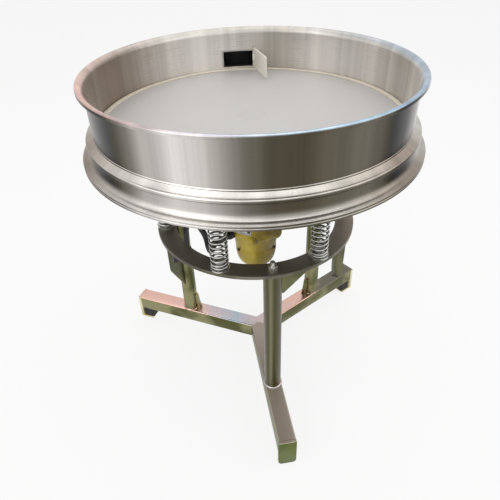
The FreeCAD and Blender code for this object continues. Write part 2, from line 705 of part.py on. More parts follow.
def socket_screw(radius, z, azimuth, dia, length):
    """A short screw whose head stands out of a round wall."""
    screw = Part.makeCylinder(dia / 2, length, V(radius, 0, z), V(1, 0, 0))
    return turned(screw, azimuth)


def cover_screws():
    """The screws round the cover's rim, heads standing out of it."""
    drum = cylinder(TAPER_LOW_DIA, COVER_LOW, TAPER_LOW)
    z = TAPER_LOW - 0.12 * COVER_DEPTH
    return group([socket_screw(TAPER_LOW_DIA / 2 - COVER_WALL / 2, z, a, COVER_SCREW_DIA, COVER_WALL).cut(drum)
                  for a in around(COVER_BOLTS, COVER_BOLT_AZ)])


def earth_tab():
    """The bare steel tab bent to the motor's barrel and the slope above its shoulder."""
    wall = BARREL_DIA / 2 + TAB_GAP
    low, knee = BARREL_LOW + 1, BARREL_LOW + 6
    inner = [(wall + 2, low), (wall, knee), (wall, low + TAB_HEIGHT)]
    strip = revolve(inner + [(r + TAB_T, z) for r, z in inner[::-1]])
    keep = Part.makeBox(BARREL_DIA, TAB_WIDTH, 3 * TAB_HEIGHT, V(BARREL_DIA / 6, -TAB_WIDTH / 2, BARREL_LOW - TAB_HEIGHT))
    return strip.common(turned(keep, TAB_AZ))


# --- cable ---------------------------------------------------------------------------------------------
GLAND_Z = (BARREL_LOW + SHOULDER_LOW) / 2
GLAND_R = SHOULDER_DIA / 2
SOCKET_Z = RING_Z - SOCKET_DROP
CABLE_END = SOCKET_Z + SOCKET_LENGTH - SOCKET_GRIP
CABLE_ROUTE = [polar(GLAND_R + GLAND_LENGTH + FIT_GAP, CABLE_AZ, GLAND_Z), polar(112, CABLE_AZ, GLAND_Z),
               polar(158, -137, GLAND_Z + 7), polar(164, -137, GLAND_Z + 73), polar(SOCKET_R, SOCKET_AZ, GLAND_Z + 73),
               polar(SOCKET_R, SOCKET_AZ, CABLE_END)]


def cable_socket():
    """An upright ferrule under the ring plate, on a web, that the cable's end drops into."""
    outer = CABLE_DIA + 2 * SOCKET_CLEARANCE + 2 * SOCKET_WALL
    centre = V(SOCKET_R, 0, 0)
    web = Part.makeBox(POST_R - SOCKET_R, SOCKET_WEB, SOCKET_DROP - 10, V(SOCKET_R, -SOCKET_WEB / 2, SOCKET_Z + 10))
    web = web.cut(Part.makeBox(RING_IN - SOCKET_R, SOCKET_WEB + 2, RING_Z - SOCKET_Z - SOCKET_LENGTH + 1,
                               V(SOCKET_R, -SOCKET_WEB / 2 - 1, SOCKET_Z + SOCKET_LENGTH)))
    body = cylinder(outer, SOCKET_Z, SOCKET_Z + SOCKET_LENGTH, centre).fuse(web)
    bore = cylinder(outer - 2 * SOCKET_WALL, SOCKET_Z + SOCKET_WALL, SOCKET_Z + SOCKET_LENGTH + 1, centre)
    return turned(body.cut(bore).removeSplitter(), SOCKET_AZ)


def cable_gland():
    """The stepped gland that stands out of the motor's shoulder."""
    base = cylinder(CABLE_DIA + 8, -6, GLAND_LENGTH * 0.6)
    nose = cylinder(CABLE_DIA + 4, GLAND_LENGTH * 0.6, GLAND_LENGTH)
    shape = base.fuse(nose).removeSplitter()
    shape.rotate(V(0, 0, 0), V(0, 1, 0), 90)
    shape.translate(V(GLAND_R, 0, GLAND_Z))
    return turned(shape.cut(cylinder(SHOULDER_DIA, SHOULDER_LOW, BARREL_LOW)), CABLE_AZ)


def cable_path():
    """Straight runs joined by tangent arcs, each as large as its two runs allow."""
    edges = []
    start = CABLE_ROUTE[0]
    for before, corner, after in zip(CABLE_ROUTE, CABLE_ROUTE[1:], CABLE_ROUTE[2:]):
        into = (corner - before).normalize()
        out = (after - corner).normalize()
        turn = math.acos(max(-1.0, min(1.0, into.dot(out))))
        back = 0.45 * min((corner - before).Length, (after - corner).Length)
        radius = back / math.tan(turn / 2)
        entry = corner - into * back
        leave = corner + out * back
        middle = corner + (out - into).normalize() * (radius / math.cos(turn / 2) - radius)
        edges.append(Part.makeLine(start, entry))
        edges.append(Part.Arc(entry, middle, leave).toShape())
        print("cable radius", round(radius, 1))
        start = leave
    edges.append(Part.makeLine(start, CABLE_ROUTE[-1]))
    return Part.Wire(edges)


def motor_cable():
    path = cable_path()
    heading = CABLE_ROUTE[1] - CABLE_ROUTE[0]
    profile = Part.Wire([Part.makeCircle(CABLE_DIA / 2, CABLE_ROUTE[0], heading)])
    shape = path.makePipeShell([profile], True, True)
    expected = math.pi * CABLE_DIA ** 2 / 4 * path.Length
    print("cable length", round(path.Length, 1), "volume over expected", round(shape.Volume / expected, 4))
    return shape


# --- every node --------------------------------------------------------------------------------------------
def build():
    low_bearing = TAPER_LOW + 6
    nodes = {
        "base_arm_front": base_arm(ARM_AZ[0]),
        "base_arm_right": base_arm(ARM_AZ[1]),
        "base_arm_left": base_arm(ARM_AZ[2]),
        "arm_end_plates": group([arm_end_plate(a) for a in ARM_AZ]),
        "foot_pads": group([foot_pad(a) for a in ARM_AZ]),
        "post_front": post(ARM_AZ[0]),
        "post_right": post(ARM_AZ[1]),
        "post_left": post(ARM_AZ[2]),
        "post_plugs": group([post_plug(a) for a in ARM_AZ]),
        "ring_studs": group([ring_stud(a) for a in ARM_AZ]),
        "ring_nuts": group([ring_nut(a) for a in ARM_AZ]),
        "support_ring": support_ring(),
        "post_gusset": post_gusset(),
        "side_plate_left": side_plate(),
        "side_lug_right": side_lug(),
        "lower_spring_seats": seats(RING_TOP, True),
        "upper_spring_seats": seats(CHASSIS_Z, False),
        "chassis_disc": chassis_disc(),
        "chassis_skirt": chassis_skirt(),
        "collector_pan": collector_pan(),
        "centre_boss": centre_boss(),
        "fine_outlet": fine_outlet(),
        "feed_ring": feed_ring(),
        "coarse_outlet": coarse_outlet(),
        "screen_hoop": screen_hoop(),
        "screen_mesh": screen_mesh(),
        "screen_gasket": screen_gasket(),
        "gate_hinge": gate_hinge(),
        "gate_hinge_pin": hinge_pin(),
        "gate_door": gate_door(),
        "motor_housing": motor_housing(),
        "motor_cover": motor_cover(),
        "motor_stator": motor_stator(),
        "rotor_core": rotor_core(),
        "rotor_shaft": rotor_shaft(),
        "motor_bearing_lower": bearing(low_bearing),
        "motor_bearing_upper": bearing(BEARING_HIGH_Z),
        "eccentric_weight_lower": eccentric_weight(TAPER_LOW - WEIGHT_THICKNESS - 4, WEIGHT_RADIUS),
        "eccentric_weight_upper": eccentric_weight(BEARING_HIGH_Z + BEARING_WIDTH + 4, WEIGHT_RADIUS),
        "motor_mounting_bolts": motor_bolts(),
        "motor_cover_screws": cover_screws(),
        "motor_earth_tab": earth_tab(),
        "cable_gland": cable_gland(),
        "cable_socket": cable_socket(),
        "motor_cable": motor_cable(),
    }
    coil = spring()
    for index, azimuth in enumerate(SPRING_AZ):
        copy = coil.copy()
        copy.translate(polar(POST_R, azimuth))
        nodes["support_spring_%d" % (index + 1)] = copy
    return nodes


os.makedirs("parts", exist_ok=True)
for name, shape in build().items():
    if not shape.isValid():
        print("not valid:", name)
    shape.exportStep("parts/%s.step" % name)
print("nodes", len(os.listdir("parts")))
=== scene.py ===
import json
import math

import bmesh
import bpy
from mathutils import Matrix, Vector


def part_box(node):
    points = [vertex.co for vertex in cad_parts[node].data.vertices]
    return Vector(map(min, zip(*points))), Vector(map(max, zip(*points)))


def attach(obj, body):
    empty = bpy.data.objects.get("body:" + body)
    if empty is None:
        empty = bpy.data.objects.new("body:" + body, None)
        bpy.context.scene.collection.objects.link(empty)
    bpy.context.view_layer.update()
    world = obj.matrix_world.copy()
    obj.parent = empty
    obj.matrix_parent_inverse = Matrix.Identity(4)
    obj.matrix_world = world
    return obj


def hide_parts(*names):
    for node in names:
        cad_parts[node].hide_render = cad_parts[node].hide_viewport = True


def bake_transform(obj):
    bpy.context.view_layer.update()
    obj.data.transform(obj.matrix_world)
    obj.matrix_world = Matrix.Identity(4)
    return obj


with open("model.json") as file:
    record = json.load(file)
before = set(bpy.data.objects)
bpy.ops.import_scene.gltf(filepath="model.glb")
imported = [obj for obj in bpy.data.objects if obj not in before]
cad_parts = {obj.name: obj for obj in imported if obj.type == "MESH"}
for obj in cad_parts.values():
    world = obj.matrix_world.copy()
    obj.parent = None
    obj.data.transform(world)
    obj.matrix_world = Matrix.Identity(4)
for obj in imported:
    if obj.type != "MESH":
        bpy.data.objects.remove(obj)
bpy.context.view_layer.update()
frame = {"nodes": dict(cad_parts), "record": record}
bodies = frame["record"]["behaviour"]["bodies"]
bodyOf = {node: body for body, nodes in bodies.items() for node in nodes}
slotOf = {part["node"]: part["material_slot"] for part in frame["record"]["subparts"]}
print("frame loaded:", len(frame["nodes"]), "nodes")


def heights(node):
    low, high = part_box(node)
    return low[2], high[2]


panLow, jointZ = heights("collector_pan")


def polar(radius, azimuth, z=0.0):
    angle = math.radians(azimuth)
    return Vector((radius * math.cos(angle), radius * math.sin(angle), z))


def turn(azimuth, place=(0, 0, 0)):
    return Matrix.Rotation(math.radians(azimuth), 4, "Z") @ Matrix.Translation(Vector(place))


def outwards(bm):
    bmesh.ops.recalc_face_normals(bm, faces=bm.faces[:])
    return bm


def moved(bm, matrix):
    bm.transform(matrix)
    return bm


def roundCorners(bm, corners, segments):
    # corners: list of (vertex, cut)
    for vert, cut in corners:
        bmesh.ops.bevel(bm, geom=[vert], offset=cut, offset_type="OFFSET", affect="VERTICES",
                        segments=segments, profile=0.5, material=-1)


def breakEdges(bm, edges, offset, segments):
    bmesh.ops.bevel(bm, geom=edges, offset=offset, affect="EDGES", segments=segments, profile=0.5,
                    material=-1)


def spinProfile(points, steps=192, start=0.0, angle=360.0):
    # points: closed outline in the XZ plane as (radius, z) or (radius, z, corner cut)
    bm = bmesh.new()
    verts = [bm.verts.new((p[0], 0, p[1])) for p in points]
    bm.faces.new(verts)
    roundCorners(bm, [(v, p[2]) for v, p in zip(verts, points) if len(p) == 3], 4)
    bmesh.ops.delete(bm, geom=bm.faces[:], context="FACES_ONLY")
    bm.transform(turn(start))
    bmesh.ops.spin(bm, geom=bm.verts[:] + bm.edges[:], cent=(0, 0, 0), axis=(0, 0, 1),
                   angle=math.radians(angle), steps=steps, use_merge=angle == 360.0, use_duplicate=False)
    bmesh.ops.remove_doubles(bm, verts=bm.verts[:], dist=1e-6)
    return outwards(bm)


def block(low, high, rounding=0.0, segments=3):
    low, high = Vector(low), Vector(high)
    bm = bmesh.new()
    place = Matrix.Translation((low + high) / 2) @ Matrix.Diagonal((*(high - low), 1))
    bmesh.ops.create_cube(bm, size=1.0, matrix=place)
    if rounding:
        breakEdges(bm, bm.edges[:], rounding, segments)
    return bm


sharpEdge = 1.2


def slab(outline, thickness, edge=0.0006):
    # a flat plate from (x, z) or (x, z, corner cut), middle on Y = 0, with broken edges
    bm = bmesh.new()
    verts = [bm.verts.new((p[0], -thickness / 2, p[1])) for p in outline]
    bm.faces.new(verts)
    roundCorners(bm, [(v, p[2]) for v, p in zip(verts, outline) if len(p) == 3], 5)
    made = bmesh.ops.extrude_face_region(bm, geom=bm.faces[:])
    farSide = [v for v in made["geom"] if isinstance(v, bmesh.types.BMVert)]
    bmesh.ops.translate(bm, verts=farSide, vec=(0, thickness, 0))
    outwards(bm)
    breakEdges(bm, [e for e in bm.edges if e.calc_face_angle(0) > sharpEdge], edge, 2)
    return bm


def openThrough(bm, azimuth, span, low, high):
    # a passage where the inner and the outer skin have faces within span degrees and these heights
    gone = []
    for face in bm.faces:
        centre = face.calc_center_median()
        off = (math.degrees(math.atan2(centre.y, centre.x)) - azimuth + 180) % 360 - 180
        if abs(off) < span and low < centre.z < high:
            gone.append(face)
    bmesh.ops.delete(bm, geom=gone, context="FACES")
    bmesh.ops.bridge_loops(bm, edges=[e for e in bm.edges if e.is_boundary])
    return outwards(bm)


def join(parts):
    whole = bmesh.new()
    for part in parts:
        mesh = bpy.data.meshes.new("part")
        part.to_mesh(mesh)
        whole.from_mesh(mesh)
        bpy.data.meshes.remove(mesh)
        part.free()
    return whole


def around(make, azimuths, place=(0, 0, 0)):
    return join([moved(make(), turn(a, place)) for a in azimuths])


def linked(name, data):
    obj = bpy.data.objects.new(name, data)
    bpy.context.scene.collection.objects.link(obj)
    return obj


def meshObject(name, bm, slot, sharp):
    mesh = bpy.data.meshes.new(name)
    bm.to_mesh(mesh)
    bm.free()
    mesh.shade_smooth()
    mesh.set_sharp_from_angle(angle=math.radians(sharp))
    mesh.materials.append(finishes[slot])
    return linked(name, mesh)


def piece(name, bm, node, sharp=32, rides=True):
    # one finished object that stands for a CAD node and takes its body and slot
    obj = meshObject(name, bm, slotOf[node], sharp)
    if rides:
        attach(obj, bodyOf[node])
    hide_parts(node)
    return obj


def trim(name, bm, body, slot, sharp=32):
    # a small extra piece with no CAD node of its own
    obj = meshObject(name, bm, slot, sharp)
    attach(obj, body)
    return obj


nodeGrid = {"columns": 8, "wide": 220, "high": 300}


def feed(tree, node, inputs):
    # an output socket is linked to the input, and anything else is set as its value
    for label, value in inputs.items():
        if isinstance(value, bpy.types.NodeSocket):
            tree.links.new(value, node.inputs[label])
        else:
            node.inputs[label].default_value = value


def addNode(tree, kind, inputs=None, **settings):
    row, column = divmod(len(tree.nodes), nodeGrid["columns"])
    node = tree.nodes.new(kind)
    node.location = (column * nodeGrid["wide"], -row * nodeGrid["high"])
    for key, value in settings.items():
        setattr(node, key, value)
    feed(tree, node, inputs or {})
    return node


def newGroup(name, inputs, outputs):
    # inputs and outputs: {label: kind of socket}
    tree = bpy.data.node_groups.new(name, "ShaderNodeTree")
    for side, sockets in (("INPUT", inputs), ("OUTPUT", outputs)):
        for label, kind in sockets.items():
            tree.interface.new_socket(name=label, in_out=side, socket_type="NodeSocket" + kind)
    return tree, addNode(tree, "NodeGroupInput").outputs, addNode(tree, "NodeGroupOutput")


def useGroup(tree, group, inputs):
    return addNode(tree, "ShaderNodeGroup", inputs, node_tree=group).outputs


def objectPlace(tree):
    return addNode(tree, "ShaderNodeTexCoord").outputs["Object"]


def faceNormal(tree):
    return addNode(tree, "ShaderNodeNewGeometry").outputs["Normal"]


def split(tree, vector):
    return addNode(tree, "ShaderNodeSeparateXYZ", {0: vector}).outputs


def combine(tree, **shares):
    return addNode(tree, "ShaderNodeCombineXYZ", shares).outputs[0]


def calc(tree, operation, *terms):
    return addNode(tree, "ShaderNodeMath", dict(enumerate(terms)), operation=operation).outputs[0]


def vectorCalc(tree, operation, inputs, output="Vector"):
    return addNode(tree, "ShaderNodeVectorMath", inputs, operation=operation).outputs[output]


def spread(tree, value, low=0.0, high=1.0, toLow=0.0, toHigh=1.0, kind="LINEAR"):
    # low to high becomes toLow to toHigh
    inputs = {"Value": value, "From Min": low, "From Max": high, "To Min": toLow, "To Max": toHigh}
    return addNode(tree, "ShaderNodeMapRange", inputs, interpolation_type=kind).outputs[0]


def noise(tree, vector, scale, detail=2.0, roughness=0.5):
    inputs = {"Vector": vector, "Scale": scale, "Detail": detail, "Roughness": roughness}
    return addNode(tree, "ShaderNodeTexNoise", inputs).outputs["Fac"]


def mixed(tree, share, a, b, **settings):
    return addNode(tree, "ShaderNodeMix", {"Factor": share, "A": a, "B": b}, **settings).outputs["Result"]


def mixedColor(tree, share, a, b, blend="MIX"):
    return mixed(tree, share, a, b, data_type="RGBA", blend_type=blend)


def relief(tree, height, strength, depth):
    return addNode(tree, "ShaderNodeBump", {"Strength": strength, "Distance": depth,
                                            "Height": height}).outputs[0]


def tone(*levels):
    # a colour as it looks on the screen, from 0 to 1, turned into the linear value a shader wants
    return tuple(v / 12.92 if v <= 0.04045 else ((v + 0.055) / 1.055) ** 2.4 for v in levels)


def opaque(color):
    return (*tone(*color), 1)


def ringRamp(tree, share, stops):
    # stops: {azimuth in degrees: colour}, wrapped so that both ends of the ramp agree
    node = addNode(tree, "ShaderNodeValToRGB", {0: share})
    ramp = node.color_ramp
    ramp.interpolation = "CARDINAL"
    first, last = min(stops), max(stops)
    wrap = (180 - last) / (first + 360 - last)
    for end in ramp.elements:
        end.color = opaque([(1 - wrap) * b + wrap * a for a, b in zip(stops[first], stops[last])])
    for azimuth in sorted(stops):
        ramp.elements.new((azimuth + 180) / 360).color = opaque(stops[azimuth])
    return node.outputs["Color"]


def spanRamp(tree, share, stops, reach):
    # stops: {place from -reach to reach: colour}
    node = addNode(tree, "ShaderNodeValToRGB", {0: share})
    ends = (min(stops), max(stops))
    for element, place in zip(node.color_ramp.elements, ends):
        element.color = opaque(stops[place])
    for place in sorted(set(stops) - set(ends)):
        node.color_ramp.elements.new(0.5 + place / reach / 2).color = opaque(stops[place])
    return node.outputs["Color"]


# polished sheet: its mirrored surroundings are painted into the colour as soft upright bands of painted
# reflection, each tone placed once or more round the ring
deep, ground, warm = (0.15, 0.14, 0.12), (0.42, 0.40, 0.36), (0.60, 0.55, 0.50)
sheen, pale = (0.74, 0.72, 0.69), (0.90, 0.88, 0.86)
rose, sky = (0.85, 0.70, 0.65), (0.65, 0.70, 0.75)
wallReflections = {-175: warm, -155: deep, -140: ground, -120: pale, -100: ground, -65: ground, -45: deep,
             -25: pale, 0: sheen, 45: pale, 70: sheen, 90: pale, 110: pale, 145: warm}
rimReflections = {-165: rose, -90: sky, -10: sky, 60: sheen, 120: sheen}
shelfReflections = {-165: warm, -130: pale, -75: sheen, -45: warm, -25: sheen, 90: sheen}
sheetLook = {"shelfTop": 0.03, "rimFoot": 0.04, "bandScale": 9.0, "bandTop": 1.1, "cloudScale": 14.0,
             "insideMetal": 0.35}


def makeSheetReflections(d):
    # polished sheet turned about the Z axis: painted reflections, one set of tones on walls and one on faces
    # that look up
    tree, given, end = newGroup("sheetReflections",
                                {"Streaks": "Float", "Lift": "Float", "Marks": "Float", "Gain": "Float"},
                                {"Color": "Color", "Rough": "Float", "Height": "Float", "Inside": "Float"})
    place, normal = objectPlace(tree), faceNormal(tree)
    x, y, z = split(tree, place)
    share = calc(tree, "MULTIPLY_ADD", calc(tree, "ARCTAN2", y, x), 0.5 / math.pi, 0.5)
    wall, rim, shelf = [ringRamp(tree, share, stops) for stops in (wallReflections, rimReflections, shelfReflections)]
    high = spread(tree, z, jointZ + d["shelfTop"], jointZ + d["rimFoot"])
    upward = spread(tree, split(tree, normal)["Z"], 0.25, 0.8, kind="SMOOTHSTEP")
    lifted = mixedColor(tree, given["Lift"], wall, wall, "SCREEN")
    both = mixedColor(tree, upward, lifted, mixedColor(tree, high, shelf, rim))
    flat = combine(tree, X=x, Y=y)
    heading = vectorCalc(tree, "NORMALIZE", {0: flat})
    inward = vectorCalc(tree, "DOT_PRODUCT", {0: heading, 1: normal}, "Value")
    # upright streak bands round the ring: partly polishing marks, partly painted reflection
    bands = noise(tree, heading, d["bandScale"], 6.0, 0.6)
    streak = spread(tree, bands, 0.3, 0.7, calc(tree, "SUBTRACT", 1.0, given["Streaks"]), d["bandTop"])
    level = calc(tree, "MULTIPLY", streak, given["Gain"])
    climb = calc(tree, "ADD", vectorCalc(tree, "LENGTH", {0: flat}, "Value"), z)
    step = combine(tree, Z=calc(tree, "MULTIPLY", climb, given["Marks"]))
    lay = vectorCalc(tree, "MULTIPLY_ADD", {0: heading, 1: (3.0, 3.0, 0.0), 2: step})
    marks = noise(tree, lay, 1.0)
    cloud = noise(tree, place, d["cloudScale"], 4.0)
    feed(tree, end, {"Color": vectorCalc(tree, "SCALE", {0: both, "Scale": level}), "Height": marks,
                     "Rough": mixed(tree, 0.5, marks, cloud), "Inside": spread(tree, inward, 0.2, -0.4)})
    return tree


def makeFacingReflections():
    # stock with painted reflections: pale sky painted on its top faces and darker ground painted on its sides
    tree, given, end = newGroup("facingReflections", {"Side Dark": "Color", "Side Light": "Color", "Top": "Color"},
                                {"Color": "Color"})
    upward = spread(tree, split(tree, faceNormal(tree))["Z"], 0.3, 0.85, kind="SMOOTHSTEP")
    cloud = spread(tree, noise(tree, objectPlace(tree), 11.0, 3.0), 0.4, 0.6, kind="SMOOTHSTEP")
    sides = mixedColor(tree, cloud, given["Side Dark"], given["Side Light"])
    feed(tree, end, {"Color": mixedColor(tree, upward, sides, given["Top"])})
    return tree


def makeSatinGrain():
    # flat or drawn stock: marks drawn out along one axis, with soft clouding
    tree, given, end = newGroup("satinGrain", {"Stretch": "Vector", "Cloud": "Float", "Contrast": "Float"},
                                {"Shade": "Float", "Rough": "Float", "Height": "Float"})
    place = objectPlace(tree)
    marks = noise(tree, vectorCalc(tree, "MULTIPLY", {0: place, 1: given["Stretch"]}), 1.0, 4.0)
    cloud = noise(tree, place, given["Cloud"], 3.0)
    lowest = calc(tree, "SUBTRACT", 1.0, given["Contrast"])
    shade = spread(tree, mixed(tree, 0.5, marks, cloud), 0.3, 0.7, lowest)
    feed(tree, end, {"Shade": shade, "Rough": cloud, "Height": marks})
    return tree


def makeWireCloth():
    # two crossed sets of fine wires in the XY plane
    tree, given, end = newGroup("wireCloth", {"Pitch": "Float"}, {"Wire": "Float", "Height": "Float"})
    place = split(tree, objectPlace(tree))
    waves = [calc(tree, "PINGPONG", calc(tree, "DIVIDE", place[axis], given["Pitch"]), 0.5) for axis in "XY"]
    top = calc(tree, "MAXIMUM", *waves)
    feed(tree, end, {"Wire": spread(tree, top, 0.15, 0.4, kind="SMOOTHSTEP"), "Height": top})
    return tree


sheetReflections = makeSheetReflections(sheetLook)
facingReflections = makeFacingReflections()
satinGrain = makeSatinGrain()
wireCloth = makeWireCloth()
fineRelief = 0.0004
grain = {"bump": 0.04, "stockContrast": 0.3, "stockCloud": 12.0, "satinCloud": 9.0, "wander": 0.12}


def blank(name, color, metallic, roughness):
    mat = bpy.data.materials.new(name)
    mat.use_nodes = True
    shader = mat.node_tree.nodes["Principled BSDF"]
    feed(mat.node_tree, shader, {"Base Color": (*color, 1), "Metallic": metallic, "Roughness": roughness})
    return mat, mat.node_tree, shader


def shadeBetween(tree, share, dark, light):
    return mixedColor(tree, share, (*dark, 1), (*light, 1))


def dress(tree, shader, color, rough, roughness, height, bump, depth=fineRelief):
    # color, rough and height are output sockets, and roughness is the span that rough covers
    feed(tree, shader, {"Base Color": color, "Roughness": spread(tree, rough, 0.0, 1.0, *roughness),
                        "Normal": relief(tree, height, bump, depth)})


def sheetSteel(name, streaks, lift, gain, roughness, marks, bump):
    mat, tree, shader = blank(name, (0.5, 0.5, 0.5), 1.0, roughness[0])
    tones = useGroup(tree, sheetReflections, {"Streaks": streaks, "Lift": lift, "Marks": marks, "Gain": gain})
    dress(tree, shader, tones["Color"], tones["Rough"], roughness, tones["Height"], bump)
    dull = spread(tree, tones["Inside"], toLow=1.0, toHigh=sheetLook["insideMetal"])
    feed(tree, shader, {"Metallic": dull})  # the inside scatters more than it mirrors
    return mat


def stockSteel(name, sides, tops, stretch, roughness, metallic=1.0):
    # drawn tube and cut plate, with painted reflections: colours by the way each face looks, and a tops table
    # laid along X
    mat, tree, shader = blank(name, tone(*sides[1]), metallic, roughness[0])
    place = objectPlace(tree)
    wander = grain["wander"]
    along = calc(tree, "MULTIPLY_ADD", noise(tree, place, 12.0), wander, split(tree, place)["X"])
    share = spread(tree, along, wander / 2 - topSpan, wander / 2 + topSpan)
    top = spanRamp(tree, share, tops, topSpan)
    faces = useGroup(tree, facingReflections, {"Side Dark": opaque(sides[0]), "Side Light": opaque(sides[1]),
                                         "Top": top})
    marks = useGroup(tree, satinGrain,
                     {"Stretch": stretch, "Contrast": grain["stockContrast"], "Cloud": grain["stockCloud"]})
    dress(tree, shader, faces["Color"], marks["Rough"], roughness, marks["Height"], grain["bump"])
    return mat


def satinSteel(name, dark, light, stretch, contrast, roughness, metallic=1.0):
    mat, tree, shader = blank(name, light, metallic, roughness[0])
    marks = useGroup(tree, satinGrain, {"Stretch": stretch, "Contrast": contrast,
                                        "Cloud": grain["satinCloud"]})
    color = shadeBetween(tree, marks["Shade"], dark, light)
    dress(tree, shader, color, marks["Rough"], roughness, marks["Height"], grain["bump"])
    return mat


# the boss under the cloth shows through it as a ring: {ten times the radius: how bright the cloth is}
cloth = {"pitch": 0.0016, "scale": 10, "boss": {0.0: 0.98, 0.21: 0.98, 0.255: 0.93, 0.30: 1.0}}


def clothOfWire(name, d):
    mat, tree, shader = blank(name, (0.6, 0.58, 0.54), 0.4, 0.5)
    weave = useGroup(tree, wireCloth, {"Pitch": d["pitch"]})
    wires = shadeBetween(tree, weave["Wire"], tone(0.62, 0.61, 0.60), tone(0.81, 0.80, 0.79))
    middle = vectorCalc(tree, "MULTIPLY", {0: objectPlace(tree), 1: (d["scale"], d["scale"], 0)})
    boss = addNode(tree, "ShaderNodeValToRGB", {0: vectorCalc(tree, "LENGTH", {0: middle}, "Value")})
    elements = boss.color_ramp.elements
    for place, level in d["boss"].items():
        element = elements.new(place) if place else elements[0]
        element.color = (level, level, level, 1)
    shown = mixedColor(tree, 1.0, wires, boss.outputs["Color"], "MULTIPLY")
    feed(tree, shader, {"Base Color": shown, "Normal": relief(tree, weave["Height"], 0.4, 0.0003)})
    return mat


casting = {"skinScale": 260.0, "lumpScale": 26.0, "litSideShare": 0.6, "lumpHeight": 2.5, "depth": 0.0016,
           "dark": (0.34, 0.27, 0.0), "light": (0.76, 0.67, 0.24), "roughness": (0.26, 0.5)}


def castPaint(name, d):
    mat, tree, shader = blank(name, tone(0.6, 0.52, 0.24), 0.5, 0.34)
    place = objectPlace(tree)
    skin, lumps = noise(tree, place, d["skinScale"], 3.0), noise(tree, place, d["lumpScale"], 5.0)
    # faces that look towards -X are painted lighter: painted light on one side of the casting
    side = spread(tree, split(tree, faceNormal(tree))["X"], 0.35, -0.5, kind="SMOOTHSTEP")
    share = mixed(tree, d["litSideShare"], spread(tree, lumps, 0.35, 0.65), side)
    color = shadeBetween(tree, share, tone(*d["dark"]), tone(*d["light"]))
    height = calc(tree, "MULTIPLY_ADD", lumps, d["lumpHeight"], skin)
    dress(tree, shader, color, lumps, d["roughness"], height, 0.5, d["depth"])
    feed(tree, shader, {"Coat Weight": 0.1, "Coat Roughness": 0.25})
    return mat


def moulded(name, dark, light, roughness, scale, bump=0.15):
    mat, tree, shader = blank(name, light, 0.0, roughness[0])
    marks = noise(tree, objectPlace(tree), scale, 4.0)
    dress(tree, shader, shadeBetween(tree, marks, dark, light), marks, roughness, marks, bump)
    return mat


def roundSteel(name, across, roughness, metallic):
    # a polished post whose mirrored bands are painted along it as painted reflection; across: {normal's X
    # share: colour}
    mat, tree, shader = blank(name, (0.3, 0.3, 0.2), metallic, roughness[0])
    share = spread(tree, split(tree, faceNormal(tree))["X"], -1.0, 1.0)
    marks = noise(tree, objectPlace(tree), 40.0)
    feed(tree, shader, {"Base Color": spanRamp(tree, share, across, 1.0),
                        "Roughness": spread(tree, marks, 0.0, 1.0, *roughness)})
    return mat


# painted reflections: olive ground painted on the sides, and sky, rose, warm and ground tones painted along X
# on the tops
greenReflectionSides = ((0.36, 0.36, 0.23), (0.57, 0.56, 0.42))
topSpan = 0.36
skyReflectionTops = {-0.36: rose, -0.15: rose, -0.08: sky, 0.08: rose, 0.15: rose, 0.20: ground, 0.36: ground}
warmReflectionTops = {-0.36: (0.70, 0.65, 0.60), 0.36: (0.70, 0.65, 0.60)}
plateReflectionTops = {-0.36: ground, 0.1: ground, 0.22: warm, 0.36: warm}
finishes = {
    "base_steel": stockSteel("polishedTube", greenReflectionSides, skyReflectionTops, (30, 30, 4), (0.16, 0.34)),
    "foot_rubber": moulded("footRubber", (0.012, 0.012, 0.013), (0.03, 0.03, 0.032), (0.55, 0.8), 320.0),
    # ring plate: painted reflection, its tops painted lighter towards +X
    "plate_steel": stockSteel("satinPlate", ((0.34, 0.33, 0.28), (0.52, 0.51, 0.44)), plateReflectionTops, (60, 60, 60),
                              (0.34, 0.5), 0.5),
    "fastener_steel": satinSteel("platedFastener", tone(0.66, 0.65, 0.62), tone(0.86, 0.86, 0.84),
                                 (90, 90, 90), 0.4, (0.25, 0.42)),
    "pan_steel": sheetSteel("panSheet", 0.16, 0.3, 0.78, (0.28, 0.36), 700.0, 0.002),
    "feed_steel": sheetSteel("ringSheet", 0.30, 0.0, 1.04, (0.25, 0.31), 1100.0, 0.0012),
    "screen_cloth": clothOfWire("wireCloth", cloth),
    "hoop_steel": satinSteel("hoopSteel", tone(0.60, 0.60, 0.58), tone(0.75, 0.75, 0.73), (50, 50, 50), 0.3,
                             (0.25, 0.4)),
    "gasket_rubber": moulded("siliconeSeal", tone(0.80, 0.76, 0.69), tone(0.89, 0.86, 0.80), (0.45, 0.6),
                             60.0, 0.08),
    "motor_paint": castPaint("goldCasting", casting),
    "motor_iron": satinSteel("bareIron", (0.10, 0.095, 0.09), (0.22, 0.21, 0.20), (80, 80, 80), 0.5,
                             (0.45, 0.65)),
    "shaft_steel": satinSteel("groundSteel", (0.50, 0.50, 0.51), (0.70, 0.70, 0.72), (4, 4, 300), 0.2,
                              (0.12, 0.25)),
    "black_bolt": satinSteel("blackenedSteel", (0.010, 0.010, 0.011), (0.030, 0.030, 0.033), (90, 90, 90),
                             0.5, (0.32, 0.5), 0.6),
    "tab_steel": satinSteel("bareStrip", tone(0.60, 0.60, 0.60), tone(0.72, 0.72, 0.72), (70, 70, 8), 0.3,
                            (0.22, 0.38)),
    "gland_plastic": moulded("blackPlastic", (0.014, 0.014, 0.015), (0.028, 0.028, 0.030), (0.38, 0.5), 200.0,
                             0.06),
    "cable_sheath": moulded("cableSheath", (0.010, 0.010, 0.011), (0.022, 0.022, 0.024), (0.42, 0.6), 180.0,
                            0.08),
    "spring_zinc": satinSteel("zincWire", tone(0.48, 0.48, 0.46), tone(0.80, 0.80, 0.79), (40, 40, 40), 0.35,
                              (0.18, 0.32)),
}
